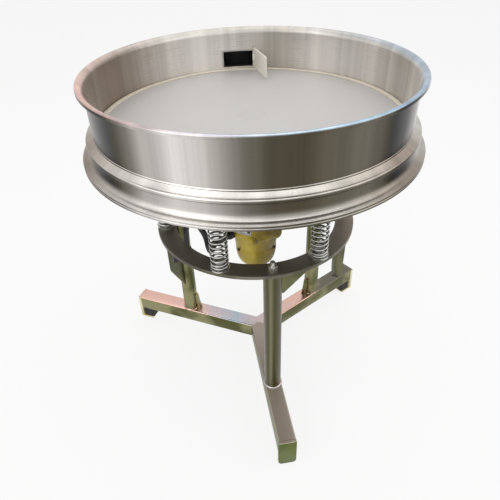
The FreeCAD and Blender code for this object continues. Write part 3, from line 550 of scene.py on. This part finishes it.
coilShade = satinSteel("zincInside", tone(0.20, 0.20, 0.17), tone(0.34, 0.34, 0.29), (40, 40, 40), 0.35,
                       (0.4, 0.6))
doorFinish = satinSteel("doorSheet", tone(0.90, 0.88, 0.84), tone(0.97, 0.95, 0.91), (8, 8, 60), 0.2,
                        (0.35, 0.5), 0.15)
# painted shade for the inside of the coarse outlet
chuteShadeFinish = moulded("shadedChute", tone(0.05, 0.045, 0.04), tone(0.20, 0.17, 0.13), (0.5, 0.7), 40.0, 0.1)
# end plates: painted reflections, green ground painted on the front plate and cream on the others
plateGreenReflection = stockSteel("plateGreenReflection", ((0.33, 0.38, 0.12), (0.40, 0.45, 0.19)), warmReflectionTops, (60, 60, 60),
                        (0.3, 0.5), 0.7)
plateCreamReflection = stockSteel("plateCreamReflection", ((0.84, 0.80, 0.60), (0.92, 0.90, 0.74)), skyReflectionTops, (60, 60, 60),
                        (0.3, 0.5), 0.6)
# a darker copy of the tube steel for the front arm: painted shade, with painted reflections on tops and sides
frontTubeInShade = stockSteel("frontTubeInShade", ((0.30, 0.34, 0.14), (0.42, 0.45, 0.25)), warmReflectionTops, (30, 30, 4),
                       (0.26, 0.40), 0.5)
# painted reflection bands for the front post, darker than the other posts: painted shade
postReflections = {-1.0: ground, -0.7: (0.30, 0.30, 0.15), -0.4: (0.50, 0.50, 0.40), 0.0: (0.30, 0.30, 0.15),
             1.0: ground}
frontPostInShade = roundSteel("frontPostInShade", postReflections, (0.26, 0.4), 0.7)
# side plates: painted reflections, sky tones painted on the tops and olive ground on the sides
plateFinish = stockSteel("sidePlateSteel", ((0.34, 0.34, 0.24), (0.45, 0.45, 0.33)), skyReflectionTops, (60, 60, 60),
                         (0.3, 0.45))
sidePlates = ("side_plate_left", "side_lug_right", "post_gusset")
for node, obj in frame["nodes"].items():
    for holder in obj.material_slots:
        holder.material = plateFinish if node in sidePlates else finishes[slotOf[node]]
print("finishes ready:", len(finishes))


armLow, armTop = heights("base_arm_front")
ringLow, ringTop = heights("support_ring")
chassisLow, chassisTop = heights("chassis_disc")
rimTop = heights("feed_ring")[1]
feedBore = 0.3055
armAzimuths = {"Front": -90, "Right": 30, "Left": 150}
armAngles = armAzimuths.values()
springAngles = [-60 + 60 * i for i in range(6)]
postRadius = 0.2


feedRing = {"bore": feedBore, "sheet": 0.0024, "rim": 0.3205, "lip": 0.004, "curl": 0.007, "roll": 0.008,
            "bead": 0.323, "beadHeight": 0.008, "beadEdge": 0.0012, "swageRise": 0.0065, "swage": 0.0016,
            "gateAzimuth": 86.6, "gateSteps": 5, "steps": 252, "sill": 0.668, "gateTop": 0.704}


def feedRingMesh(d):
    inner, outer, rim, sheet = d["bore"], d["bore"] + d["sheet"], d["rim"], d["sheet"]
    lip, curl, roll, bead, edge = d["lip"], d["curl"], d["roll"], d["bead"], d["beadEdge"]
    foot, beadTop = bead - d["beadHeight"] / 2, jointZ + d["beadHeight"]
    swage, under = beadTop + d["swageRise"], rimTop - sheet
    points = [(inner, jointZ), (foot, jointZ, 0.001), (bead, jointZ + edge, 0.0014),
              (bead, beadTop - edge, 0.0026), (foot, beadTop, 0.002), (outer + 0.0006, swage, 0.001),
              (outer + d["swage"], swage + 0.0015, 0.0008), (outer, swage + 0.003, 0.001),
              (outer, d["sill"]), (outer, d["gateTop"]), (outer, rimTop - 0.006, 0.003),
              (inner + roll - sheet, under, 0.003), (rim - lip, under, 0.001),
              (rim - sheet, rimTop - lip, 0.001), (rim - sheet, rimTop - curl), (rim, rimTop - curl),
              (rim, rimTop - 0.001, 0.0028), (rim - lip, rimTop, 0.001), (inner + roll, rimTop, 0.004),
              (inner, rimTop - roll, 0.005), (inner, d["gateTop"]), (inner, d["sill"])]
    bm = spinProfile(points, d["steps"], d["gateAzimuth"])
    return openThrough(bm, d["gateAzimuth"], 360.0 / d["steps"] * d["gateSteps"], d["sill"], d["gateTop"])


piece("feedRing", feedRingMesh(feedRing), "feed_ring", 40)
print("feed ring made")


chute = {"azimuth": 86.6, "half": 0.0372, "inner": 0.3058, "bend": 0.3259, "outer": 0.3606, "fall": 0.0215,
         "roof": 0.7037, "wall": 0.0002, "clear": 0.0003}


def chuteMesh(d):
    # the inside of the coarse outlet, dark with painted shade: a box without ends whose floor falls away
    low = feedRing["sill"] + d["clear"]
    bm = block((d["inner"], -d["half"], low), (d["outer"], d["half"], d["roof"]))
    bmesh.ops.bisect_plane(bm, geom=bm.verts[:] + bm.edges[:] + bm.faces[:], plane_co=(d["bend"], 0, 0),
                           plane_no=(1, 0, 0))
    mouth = [v for v in bm.verts if v.co.x > d["bend"] + 0.01 and v.co.z < low + 0.001]
    bmesh.ops.translate(bm, verts=mouth, vec=(0, 0, -d["fall"]))
    bmesh.ops.delete(bm, geom=[f for f in bm.faces if abs(f.normal.x) > 0.9], context="FACES")
    bmesh.ops.solidify(bm, geom=bm.faces[:], thickness=d["wall"])
    return moved(outwards(bm), turn(d["azimuth"]))


trim("shadedChute", chuteMesh(chute), "feed_ring_body", "feed_steel").data.materials[0] = chuteShadeFinish

flap = {"thick": 0.0015, "back": 0.006, "clear": 0.0003, "roofClear": 0.0004, "floorClear": 0.0012}


def flapMesh(d):
    # a rubber sheet that hangs in the outlet's mouth and keeps the dust in
    x = chute["outer"] - d["back"]
    fallen = chute["fall"] * (x - chute["bend"]) / (chute["outer"] - chute["bend"])
    low, high = feedRing["sill"] - fallen + d["floorClear"], chute["roof"] - d["roofClear"]
    side = chute["half"] - d["clear"]
    return moved(block((x, -side, low), (x + d["thick"], side, high), 0.0003, 2), turn(chute["azimuth"]))


trim("outletFlap", flapMesh(flap), "feed_ring_body", "foot_rubber")

gateFrame = {"width": 0.0028, "proud": 0.0005, "sunk": 0.0004, "gap": 0.1}


def gateFrameMesh(d):
    # a thin folded edge round the gate's opening, on the inside of the wall
    half = 360.0 / feedRing["steps"] * feedRing["gateSteps"]
    side = math.degrees(d["width"] / feedBore)
    inner, outer = feedBore - d["proud"], feedBore + d["sunk"]
    sill, top = feedRing["sill"], feedRing["gateTop"]
    strips = []
    for start, wide, low in ((-half, 2 * half, top + d["sunk"]), (-half - side - d["gap"], side, sill),
                             (half + d["gap"], side, sill)):
        high = top + d["width"]
        bm = spinProfile([(inner, low), (outer, low), (outer, high), (inner, high)],
                         max(2, round(wide)), feedRing["gateAzimuth"] + start, wide)
        bmesh.ops.holes_fill(bm, edges=[e for e in bm.edges if e.is_boundary])
        strips.append(outwards(bm))
    return join(strips)


trim("gateFrame", gateFrameMesh(gateFrame), "feed_ring_body", "hoop_steel")

collector = {"rim": 0.3355, "neck": 0.317, "sheet": 0.0025, "edge": 0.010, "flange": 0.321, "ledge": 0.292,
             "bend": 0.005, "foot": 0.0015, "flareSteps": 10, "outletAzimuth": 140, "outletSteps": 5,
             "outletTop": 0.017, "steps": 252}


def collectorMesh(d):
    rim, neck, sheet, low, top = d["rim"], d["neck"], d["sheet"], panLow, jointZ
    under, edgeTop, floor = top - sheet, low + d["edge"], low + sheet
    flareFoot, flareLow = rim - d["bend"], edgeTop + d["foot"]

    def flare(inset):
        # quarter sweep from the lower edge in to the neck, hollow outwards
        reach, rise = flareFoot - neck, under - flareLow
        roof = math.degrees(math.acos(1 - (floor + d["outletTop"] - flareLow) / rise))
        turns = sorted([90 * i / d["flareSteps"] for i in range(d["flareSteps"] + 1)] + [roof])
        return [(flareFoot - inset - reach * math.sin(math.radians(t)) ** 0.9,
                 flareLow + rise * (1 - math.cos(math.radians(t)))) for t in turns]

    points = [(0, low), (rim - 0.002, low, 0.001), (rim, low + 0.0010, 0.0006), (rim, floor),
              (rim, low + 0.0040, 0.0005), (rim - 0.0016, low + 0.0052, 0.0004), (rim, low + 0.0064, 0.0005),
              (rim, edgeTop - 0.0008, 0.0008), (rim - 0.002, edgeTop, 0.0008), *flare(0),
              (d["flange"] - 0.0004, under, 0.0003), (d["flange"], top - 0.0004, 0.0003), (d["ledge"], top),
              (d["ledge"], under), *flare(sheet)[::-1], (flareFoot - sheet, floor), (0, floor)]
    bm = spinProfile(points, d["steps"], d["outletAzimuth"])
    span = 360.0 / d["steps"] * d["outletSteps"]
    return openThrough(bm, d["outletAzimuth"], span, floor + 0.0001, floor + d["outletTop"])


piece("collectorPan", collectorMesh(collector), "collector_pan", 40)
print("collector made")


seal = {"outer": feedBore - 0.0003, "inner": feedBore - 0.0042, "lip": 0.008, "rise": 0.0025,
        "groove": 0.0018, "steps": 216}


def sealMesh(d):
    meshTop = heights("screen_mesh")[1]
    top, land, tip = meshTop + d["rise"], meshTop + 0.0004, d["inner"] - d["lip"]
    outer, groove = d["outer"], d["outer"] - d["groove"]
    return spinProfile([(d["inner"], jointZ), (outer, jointZ), (outer, land), (groove, land),
                        (groove, top, 0.0012), (tip, top, 0.0012), (tip, meshTop, 0.0004),
                        (d["inner"], meshTop)], d["steps"])


piece("screenSeal", sealMesh(seal), "screen_gasket")


chassis = {"disc": 0.228, "edge": 0.001, "skirt": 0.216, "wall": 0.003}


def chassisDiscMesh(d):
    return spinProfile([(0, chassisLow), (d["disc"], chassisLow, d["edge"]),
                        (d["disc"], chassisTop, d["edge"]), (0, chassisTop)])


def chassisSkirtMesh(d):
    inner, outer = d["skirt"] - d["wall"], d["skirt"]
    return spinProfile([(inner, chassisTop), (outer, chassisTop), (outer, panLow), (inner, panLow)])


piece("chassisDisc", chassisDiscMesh(chassis), "chassis_disc")
piece("chassisSkirt", chassisSkirtMesh(chassis), "chassis_skirt")
print("screen seal and chassis made")


door = {"length": 0.095, "thick": 0.002, "azimuth": -82.0, "knuckle": 0.0032, "bore": 0.0016, "clear": 0.0042,
        "gap": 0.0003, "corner": 0.003}


def doorMesh(d):
    low, high = heights("gate_door")
    third, half, gap, knuckle, bore = (high - low) / 3, d["thick"] / 2, d["gap"], d["knuckle"], d["bore"]
    sheet = slab([(d["clear"], low, 0.001), (d["length"], low, d["corner"]), (d["length"], high, d["corner"]),
                  (d["clear"], high, 0.001)], d["thick"], 0.0005)
    foot, head = low + third + gap, high - third - gap
    barrel = spinProfile([(bore, foot), (knuckle, foot, gap), (knuckle, head, gap), (bore, head)], 24)
    web = block((bore + 0.001, -half, foot + 0.0001), (d["clear"] + 0.001, half, head - 0.0001))
    middle = sum(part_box("gate_hinge_pin"), Vector()) / 2
    matrix = Matrix.Translation((middle.x, middle.y, 0)) @ turn(d["azimuth"])
    return join([moved(part, matrix) for part in (sheet, barrel, web)])


piece("gateDoor", doorMesh(door), "gate_door").data.materials[0] = doorFinish


ringPlate = {"inner": 0.180, "outer": 0.220, "lowEdge": 0.0006, "topEdge": 0.0009}


def ringPlateMesh(d):
    return spinProfile([(d["inner"], ringLow, d["lowEdge"]), (d["outer"], ringLow, d["lowEdge"]),
                        (d["outer"], ringTop, d["topEdge"]), (d["inner"], ringTop, d["topEdge"])])


piece("ringPlate", ringPlateMesh(ringPlate), "support_ring")


sideLug = {"front": -0.034, "back": 0.040, "frontDrop": 0.202, "drop": 0.240, "corner": 0.004, "thick": 0.005,
           "azimuth": 2, "radius": 0.2135}


def sideLugMesh(d):
    # the narrow plate that hangs from the ring on the right, turned to lie across its radius
    corner, foot = d["corner"], ringLow - d["drop"]
    bm = slab([(d["front"], ringLow), (d["front"] + 0.010, ringLow - d["frontDrop"], corner),
               (d["back"] - 0.012, foot, corner), (d["back"] - 0.004, foot + 0.03, corner),
               (d["back"], ringLow)], d["thick"])
    return moved(bm, turn(d["azimuth"], (d["radius"], 0, 0)) @ turn(90))


piece("sideLug", sideLugMesh(sideLug), "side_lug_right").data.materials[0] = plateFinish

arm = {"size": 0.040, "reach": 0.355, "corner": 0.004}


def armMesh(d):
    half = d["size"] / 2
    bm = block((0, -half, armLow), (d["reach"], half, armTop))
    breakEdges(bm, [e for e in bm.edges if abs(e.verts[0].co.x - e.verts[1].co.x) > 0.1], d["corner"], 4)
    for side in (1, -1):
        cut = Vector((-math.sin(math.radians(60)), side * math.cos(math.radians(60)), 0))
        bmesh.ops.bisect_plane(bm, geom=bm.verts[:] + bm.edges[:] + bm.faces[:], plane_co=(0, 0, 0),
                               plane_no=cut, clear_outer=True)
        bmesh.ops.holes_fill(bm, edges=[e for e in bm.edges if e.is_boundary])
    return outwards(bm)


for side, azimuth in armAzimuths.items():
    made = piece("arm" + side, moved(armMesh(arm), turn(azimuth)), "base_arm_" + side.lower())
    # the front arm takes the darker copy: painted shade
    if side == "Front":
        made.data.materials[0] = frontTubeInShade

endPlate = {"thick": 0.008, "corner": 0.009, "headCorner": 0.002, "lift": 0.002}


def endPlateMesh(d):
    half, foot, head = arm["size"] / 2, d["corner"], d["headCorner"]
    bm = slab([(-half, d["lift"], foot), (half, d["lift"], foot), (half, armTop, head),
               (-half, armTop, head)], d["thick"], 0.0008)
    return moved(bm, Matrix.Translation((arm["reach"] + d["thick"] / 2, 0, 0)) @ turn(90))


endPlates = piece("endPlates", around(lambda: endPlateMesh(endPlate), armAngles), "arm_end_plates")
endPlates.data.materials[0] = plateGreenReflection
endPlates.data.materials.append(plateCreamReflection)
# the front end plate takes the painted green reflection, the others the painted cream reflection
for face in endPlates.data.polygons:
    face.material_index = int(face.center.y > -0.2)

foot = {"size": 0.030, "toe": 0.007}


def footMesh(d):
    # a black block on a pale toe plate, whose cream is a painted reflection
    outer, half = arm["reach"], d["size"] / 2
    inner = outer - d["size"]
    return join([block((inner + 0.004, -half, 0), (outer, half, d["toe"]), 0.0012),
                 block((inner, -half + 0.001, d["toe"]), (outer - 0.001, half - 0.001, armLow), 0.002)])


feet = piece("feet", around(lambda: footMesh(foot), armAngles), "foot_pads")
feet.data.materials.append(plateCreamReflection)
for face in feet.data.polygons:
    face.material_index = int(face.center.z < foot["toe"] - 0.0001)

post = {"radius": 0.019, "wall": 0.002, "weld": 0.0035, "weldCut": 0.0008}


def postMesh(d):
    inner, outer = d["radius"] - d["wall"], d["radius"]
    return spinProfile([(inner, armTop), (outer, armTop), (outer, ringLow), (inner, ringLow)], 64)


for side, azimuth in armAzimuths.items():
    made = piece("post" + side, moved(postMesh(post), turn(azimuth, (postRadius, 0, 0))),
                 "post_" + side.lower())
    # the front post takes the darker copy: painted shade and painted reflection
    if side == "Front":
        made.data.materials[0] = frontPostInShade


def weldMesh(d):
    radius, bead, cut = d["radius"], d["weld"], d["weldCut"]
    return spinProfile([(radius, armTop), (radius + bead, armTop, cut),
                        (radius + bead * 0.5, armTop + bead * 0.6, cut), (radius, armTop + bead, cut)], 48)


footGusset = {"foot": 0.013, "head": 0.004, "height": 0.050, "thick": 0.012}


def footGussetMesh(d):
    # a small stiffener on the inner side of each post's foot
    x, top = post["radius"] - 0.0005, armTop + d["height"]
    return slab([(-x, armTop), (-x - d["foot"], armTop, 0.0015),
                 (-x - d["foot"] * 0.6, armTop + d["height"] * 0.45, 0.006), (-x - d["head"], top, 0.001),
                 (-x, top)], d["thick"], 0.0008)


trim("footGussets", around(lambda: footGussetMesh(footGusset), armAngles, (postRadius, 0, 0)), "frame",
     "base_steel")
trim("postWelds", around(lambda: weldMesh(post), armAngles, (postRadius, 0, 0)), "frame", "base_steel")
print("base made")


spring = {"radius": 0.0165, "wire": 0.002, "wireSides": 8, "turns": 12, "stepsPerTurn": 24, "start": 200}
springLow, springHigh = heights("support_spring_1")


def springMesh(d):
    bm = bmesh.new()
    wire = d["wire"]
    place = Matrix.Translation((d["radius"], 0, springLow + wire)) @ Matrix.Rotation(math.pi / 2, 4, "X")
    ring = bmesh.ops.create_circle(bm, cap_ends=True, segments=d["wireSides"], radius=wire, matrix=place)
    geom = ring["verts"] + list({e for v in ring["verts"] for e in v.link_edges})
    rise = springHigh - springLow - 6 * wire
    for turns, lift in ((1, 2 * wire), (d["turns"], rise), (1, 2 * wire)):  # closed end, coils, closed end
        steps = turns * d["stepsPerTurn"]
        spun = bmesh.ops.spin(bm, geom=geom, cent=(0, 0, 0), axis=(0, 0, 1), angle=2 * math.pi * turns,
                              steps=steps, dvec=(0, 0, lift / steps), use_duplicate=False, use_merge=False)
        geom = [g for g in spun["geom_last"] if isinstance(g, (bmesh.types.BMVert, bmesh.types.BMEdge))]
    bmesh.ops.contextual_create(bm, geom=[g for g in geom if isinstance(g, bmesh.types.BMEdge)])
    return outwards(bm)


for index, azimuth in enumerate(springAngles, 1):
    at = polar(postRadius, azimuth)
    coil = moved(springMesh(spring), Matrix.Translation(at) @ turn(azimuth + spring["start"]))
    made = piece("spring%d" % index, coil, "support_spring_%d" % index, 60, False)
    made.data.materials.append(coilShade)
    for face in made.data.polygons:
        outward = Vector(face.center.xy) - Vector(at.xy)
        face.material_index = int(outward.normalized().dot(Vector(face.normal.xy)) < -0.25)
    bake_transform(made)
print("springs made")


motor = {"flange": 0.085, "flangeThick": 0.010, "barrel": 0.062, "barrelFoot": 0.022, "shoulder": 0.066,
         "taper": 0.036, "taperTop": 0.053, "taperLow": 0.048, "base": 0.032, "coverSkirt": 0.2,
         "bowlSteps": 14, "steps": 144, "bolts": 6, "boltAzimuth": -106}
coverLow, taperLow = heights("motor_cover")
shoulderLow = taperLow + motor["taper"]
barrelLow = shoulderLow + motor["barrelFoot"]
flangeLow = chassisLow - motor["flangeThick"]


def housingMesh(d):
    flange, barrel, shoulder, taperTop = d["flange"], d["barrel"], d["shoulder"], d["taperTop"]
    points = [(0, chassisLow), (flange, chassisLow, 0.001), (flange, flangeLow, 0.0015),
              (barrel + 0.004, flangeLow, 0.003), (barrel, flangeLow - 0.006, 0.004),
              (barrel, barrelLow + 0.006, 0.003), (shoulder, barrelLow, 0.002),
              (shoulder, shoulderLow + 0.006, 0.004),
              (taperTop + 0.002, shoulderLow - 0.001, 0.003), (taperTop, shoulderLow - 0.006, 0.002),
              (d["taperLow"], taperLow, 0.0004), (0, taperLow)]
    return spinProfile(points, d["steps"])


def coverMesh(d):
    skirt = (taperLow - coverLow) * d["coverSkirt"]
    reach, drop = d["taperLow"] - d["base"], taperLow - coverLow - skirt
    turns = [math.radians(90 * i / d["bowlSteps"]) for i in range(d["bowlSteps"] + 1)]
    bowl = [(d["base"] + reach * math.cos(t), taperLow - skirt - drop * math.sin(t)) for t in turns]
    return spinProfile([(0, taperLow), (d["taperLow"], taperLow, 0.0005), *bowl, (0, coverLow)], d["steps"])


piece("motorHousing", housingMesh(motor), "motor_housing")
piece("motorCover", coverMesh(motor), "motor_cover")


boltLug = {"radius": 0.011, "shape": (0.72, 1.25, 1.15), "inset": 0.0045, "rise": 0.009}


def boltLugMesh(d):
    # the boss that carries one screw, run out below the shoulder
    bm = bmesh.new()
    bmesh.ops.create_uvsphere(bm, u_segments=24, v_segments=14, radius=d["radius"])
    bmesh.ops.scale(bm, verts=bm.verts[:], vec=d["shape"])
    return bm


earthScrew = {"radius": 0.0662, "azimuth": -112, "z": 0.4225, "half": 0.003, "sunk": 0.0015, "proud": 0.002}


def earthScrewMesh(d):
    head = block((-d["sunk"], -d["half"], -d["half"]), (d["proud"], d["half"], d["half"]), 0.0008)
    return moved(head, turn(d["azimuth"], (d["radius"], 0, d["z"])))


trim("earthScrew", earthScrewMesh(earthScrew), "pan", "black_bolt")
boltAngles = [motor["boltAzimuth"] + 60 * i for i in range(motor["bolts"])]
lugPlace = (motor["shoulder"] - boltLug["inset"], 0, shoulderLow + boltLug["rise"])
trim("motorLugs", around(lambda: boltLugMesh(boltLug), boltAngles, lugPlace), "pan", "motor_paint", 60)
print("motor made")


# route: (radius, azimuth, height) from the gland over the arch and down into the ferrule
cable = {"diameter": 0.012, "route": ((0.0823, -152, 0.401), (0.112, -152, 0.401), (0.158, -137, 0.408),
                                      (0.164, -137, 0.474), (0.165, -168, 0.474), (0.165, -168, 0.366))}


def cableCurve(d):
    route = [polar(*place) for place in d["route"]]
    curve = bpy.data.curves.new("motorCable", "CURVE")
    curve.dimensions = "3D"
    curve.bevel_depth = d["diameter"] / 2
    curve.bevel_resolution = 6
    curve.use_fill_caps = True
    spline = curve.splines.new("NURBS")
    spline.points.add(len(route) - 1)
    for point, place in zip(spline.points, route):
        point.co = (*place, 1)
    spline.order_u = 3
    spline.use_endpoint_u = True
    spline.resolution_u = 16
    curve.materials.append(finishes["cable_sheath"])
    obj = linked("motorCable", curve)
    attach(obj, "pan")
    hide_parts("motor_cable")


cableCurve(cable)
print("cable laid")


studio = {"floor": 12.0, "floorColor": (0.86, 0.86, 0.85), "backdrop": 0.86, "world": 0.62}
lamps = {"keyLamp": {"place": (-1.7, -1.4, 2.4), "target": (0, 0, 0.5), "size": (2.6, 2.0), "power": 20},
         "fillLamp": {"place": (2.1, -0.8, 1.9), "target": (0, 0, 0.5), "size": (2.2, 2.2), "power": 12},
         "topLamp": {"place": (0.1, 0.3, 2.6), "target": (0, 0, 0.6), "size": (2.4, 2.4), "power": 23}}


def seesWhite(tree):
    # camera, glossy and transmission rays see the white backdrop
    rays = addNode(tree, "ShaderNodeLightPath").outputs
    seen = rays["Is Camera Ray"]
    for name in ("Is Glossy Ray", "Is Transmission Ray"):
        seen = calc(tree, "MAXIMUM", seen, rays[name])
    return seen


def mixedShader(tree, share, first, second):
    inputs = {"Fac": share, 1: first.outputs[0], 2: second.outputs[0]}
    return addNode(tree, "ShaderNodeMixShader", inputs).outputs[0]


def stageFloor(d):
    bm = bmesh.new()
    bmesh.ops.create_grid(bm, x_segments=1, y_segments=1, size=d["floor"])
    mesh = bpy.data.meshes.new("studioFloor")
    bm.to_mesh(mesh)
    bm.free()
    mat, tree, shader = blank("floorPaint", d["floorColor"], 0.0, 0.9)
    feed(tree, shader, {"Specular IOR Level": 0.0})
    glow = addNode(tree, "ShaderNodeEmission")
    share = calc(tree, "MULTIPLY", seesWhite(tree), d["backdrop"])
    feed(tree, tree.nodes["Material Output"], {"Surface": mixedShader(tree, share, shader, glow)})
    mesh.materials.append(mat)
    linked("studioFloor", mesh)


def studioWorld(d):
    world = bpy.data.worlds.new("studioWorld")
    bpy.context.scene.world = world
    world.use_nodes = True
    tree = world.node_tree
    tree.nodes.clear()
    soft = addNode(tree, "ShaderNodeBackground", {"Strength": d["world"]})
    white = addNode(tree, "ShaderNodeBackground", {"Strength": 1.0, "Color": (1, 1, 1, 1)})
    addNode(tree, "ShaderNodeOutputWorld", {"Surface": mixedShader(tree, seesWhite(tree), soft, white)})


def softLamp(name, d):
    lamp = bpy.data.lights.new(name, "AREA")
    lamp.shape = "RECTANGLE"
    lamp.size, lamp.size_y = d["size"]
    lamp.energy = d["power"]
    obj = linked(name, lamp)
    obj.location = d["place"]
    obj.rotation_euler = (Vector(d["target"]) - Vector(d["place"])).to_track_quat("-Z", "Y").to_euler()


stageFloor(studio)
studioWorld(studio)
for name, lamp in lamps.items():
    softLamp(name, lamp)

view = {"azimuth": -99.0, "distance": 0.9179, "aboveRim": 0.2612, "yaw": -0.91, "pitch": 37.06, "roll": -2.07,
        "lens": 34.39, "sensor": 36.0}


def placeCamera(d):
    data = bpy.data.cameras.new("viewCamera")
    data.lens = d["lens"]
    data.sensor_width = d["sensor"]
    camera = linked("viewCamera", data)
    heading = turn(d["azimuth"] + 90.0 - d["yaw"])
    turned = heading @ Matrix.Rotation(math.radians(90.0 - d["pitch"]), 4, "X") @ turn(d["roll"])
    place = polar(d["distance"], d["azimuth"], rimTop + d["aboveRim"])
    camera.matrix_world = Matrix.Translation(place) @ turned
    bpy.context.scene.camera = camera


placeCamera(view)
bpy.context.scene.view_settings.view_transform = "Standard"


print("scene ready")
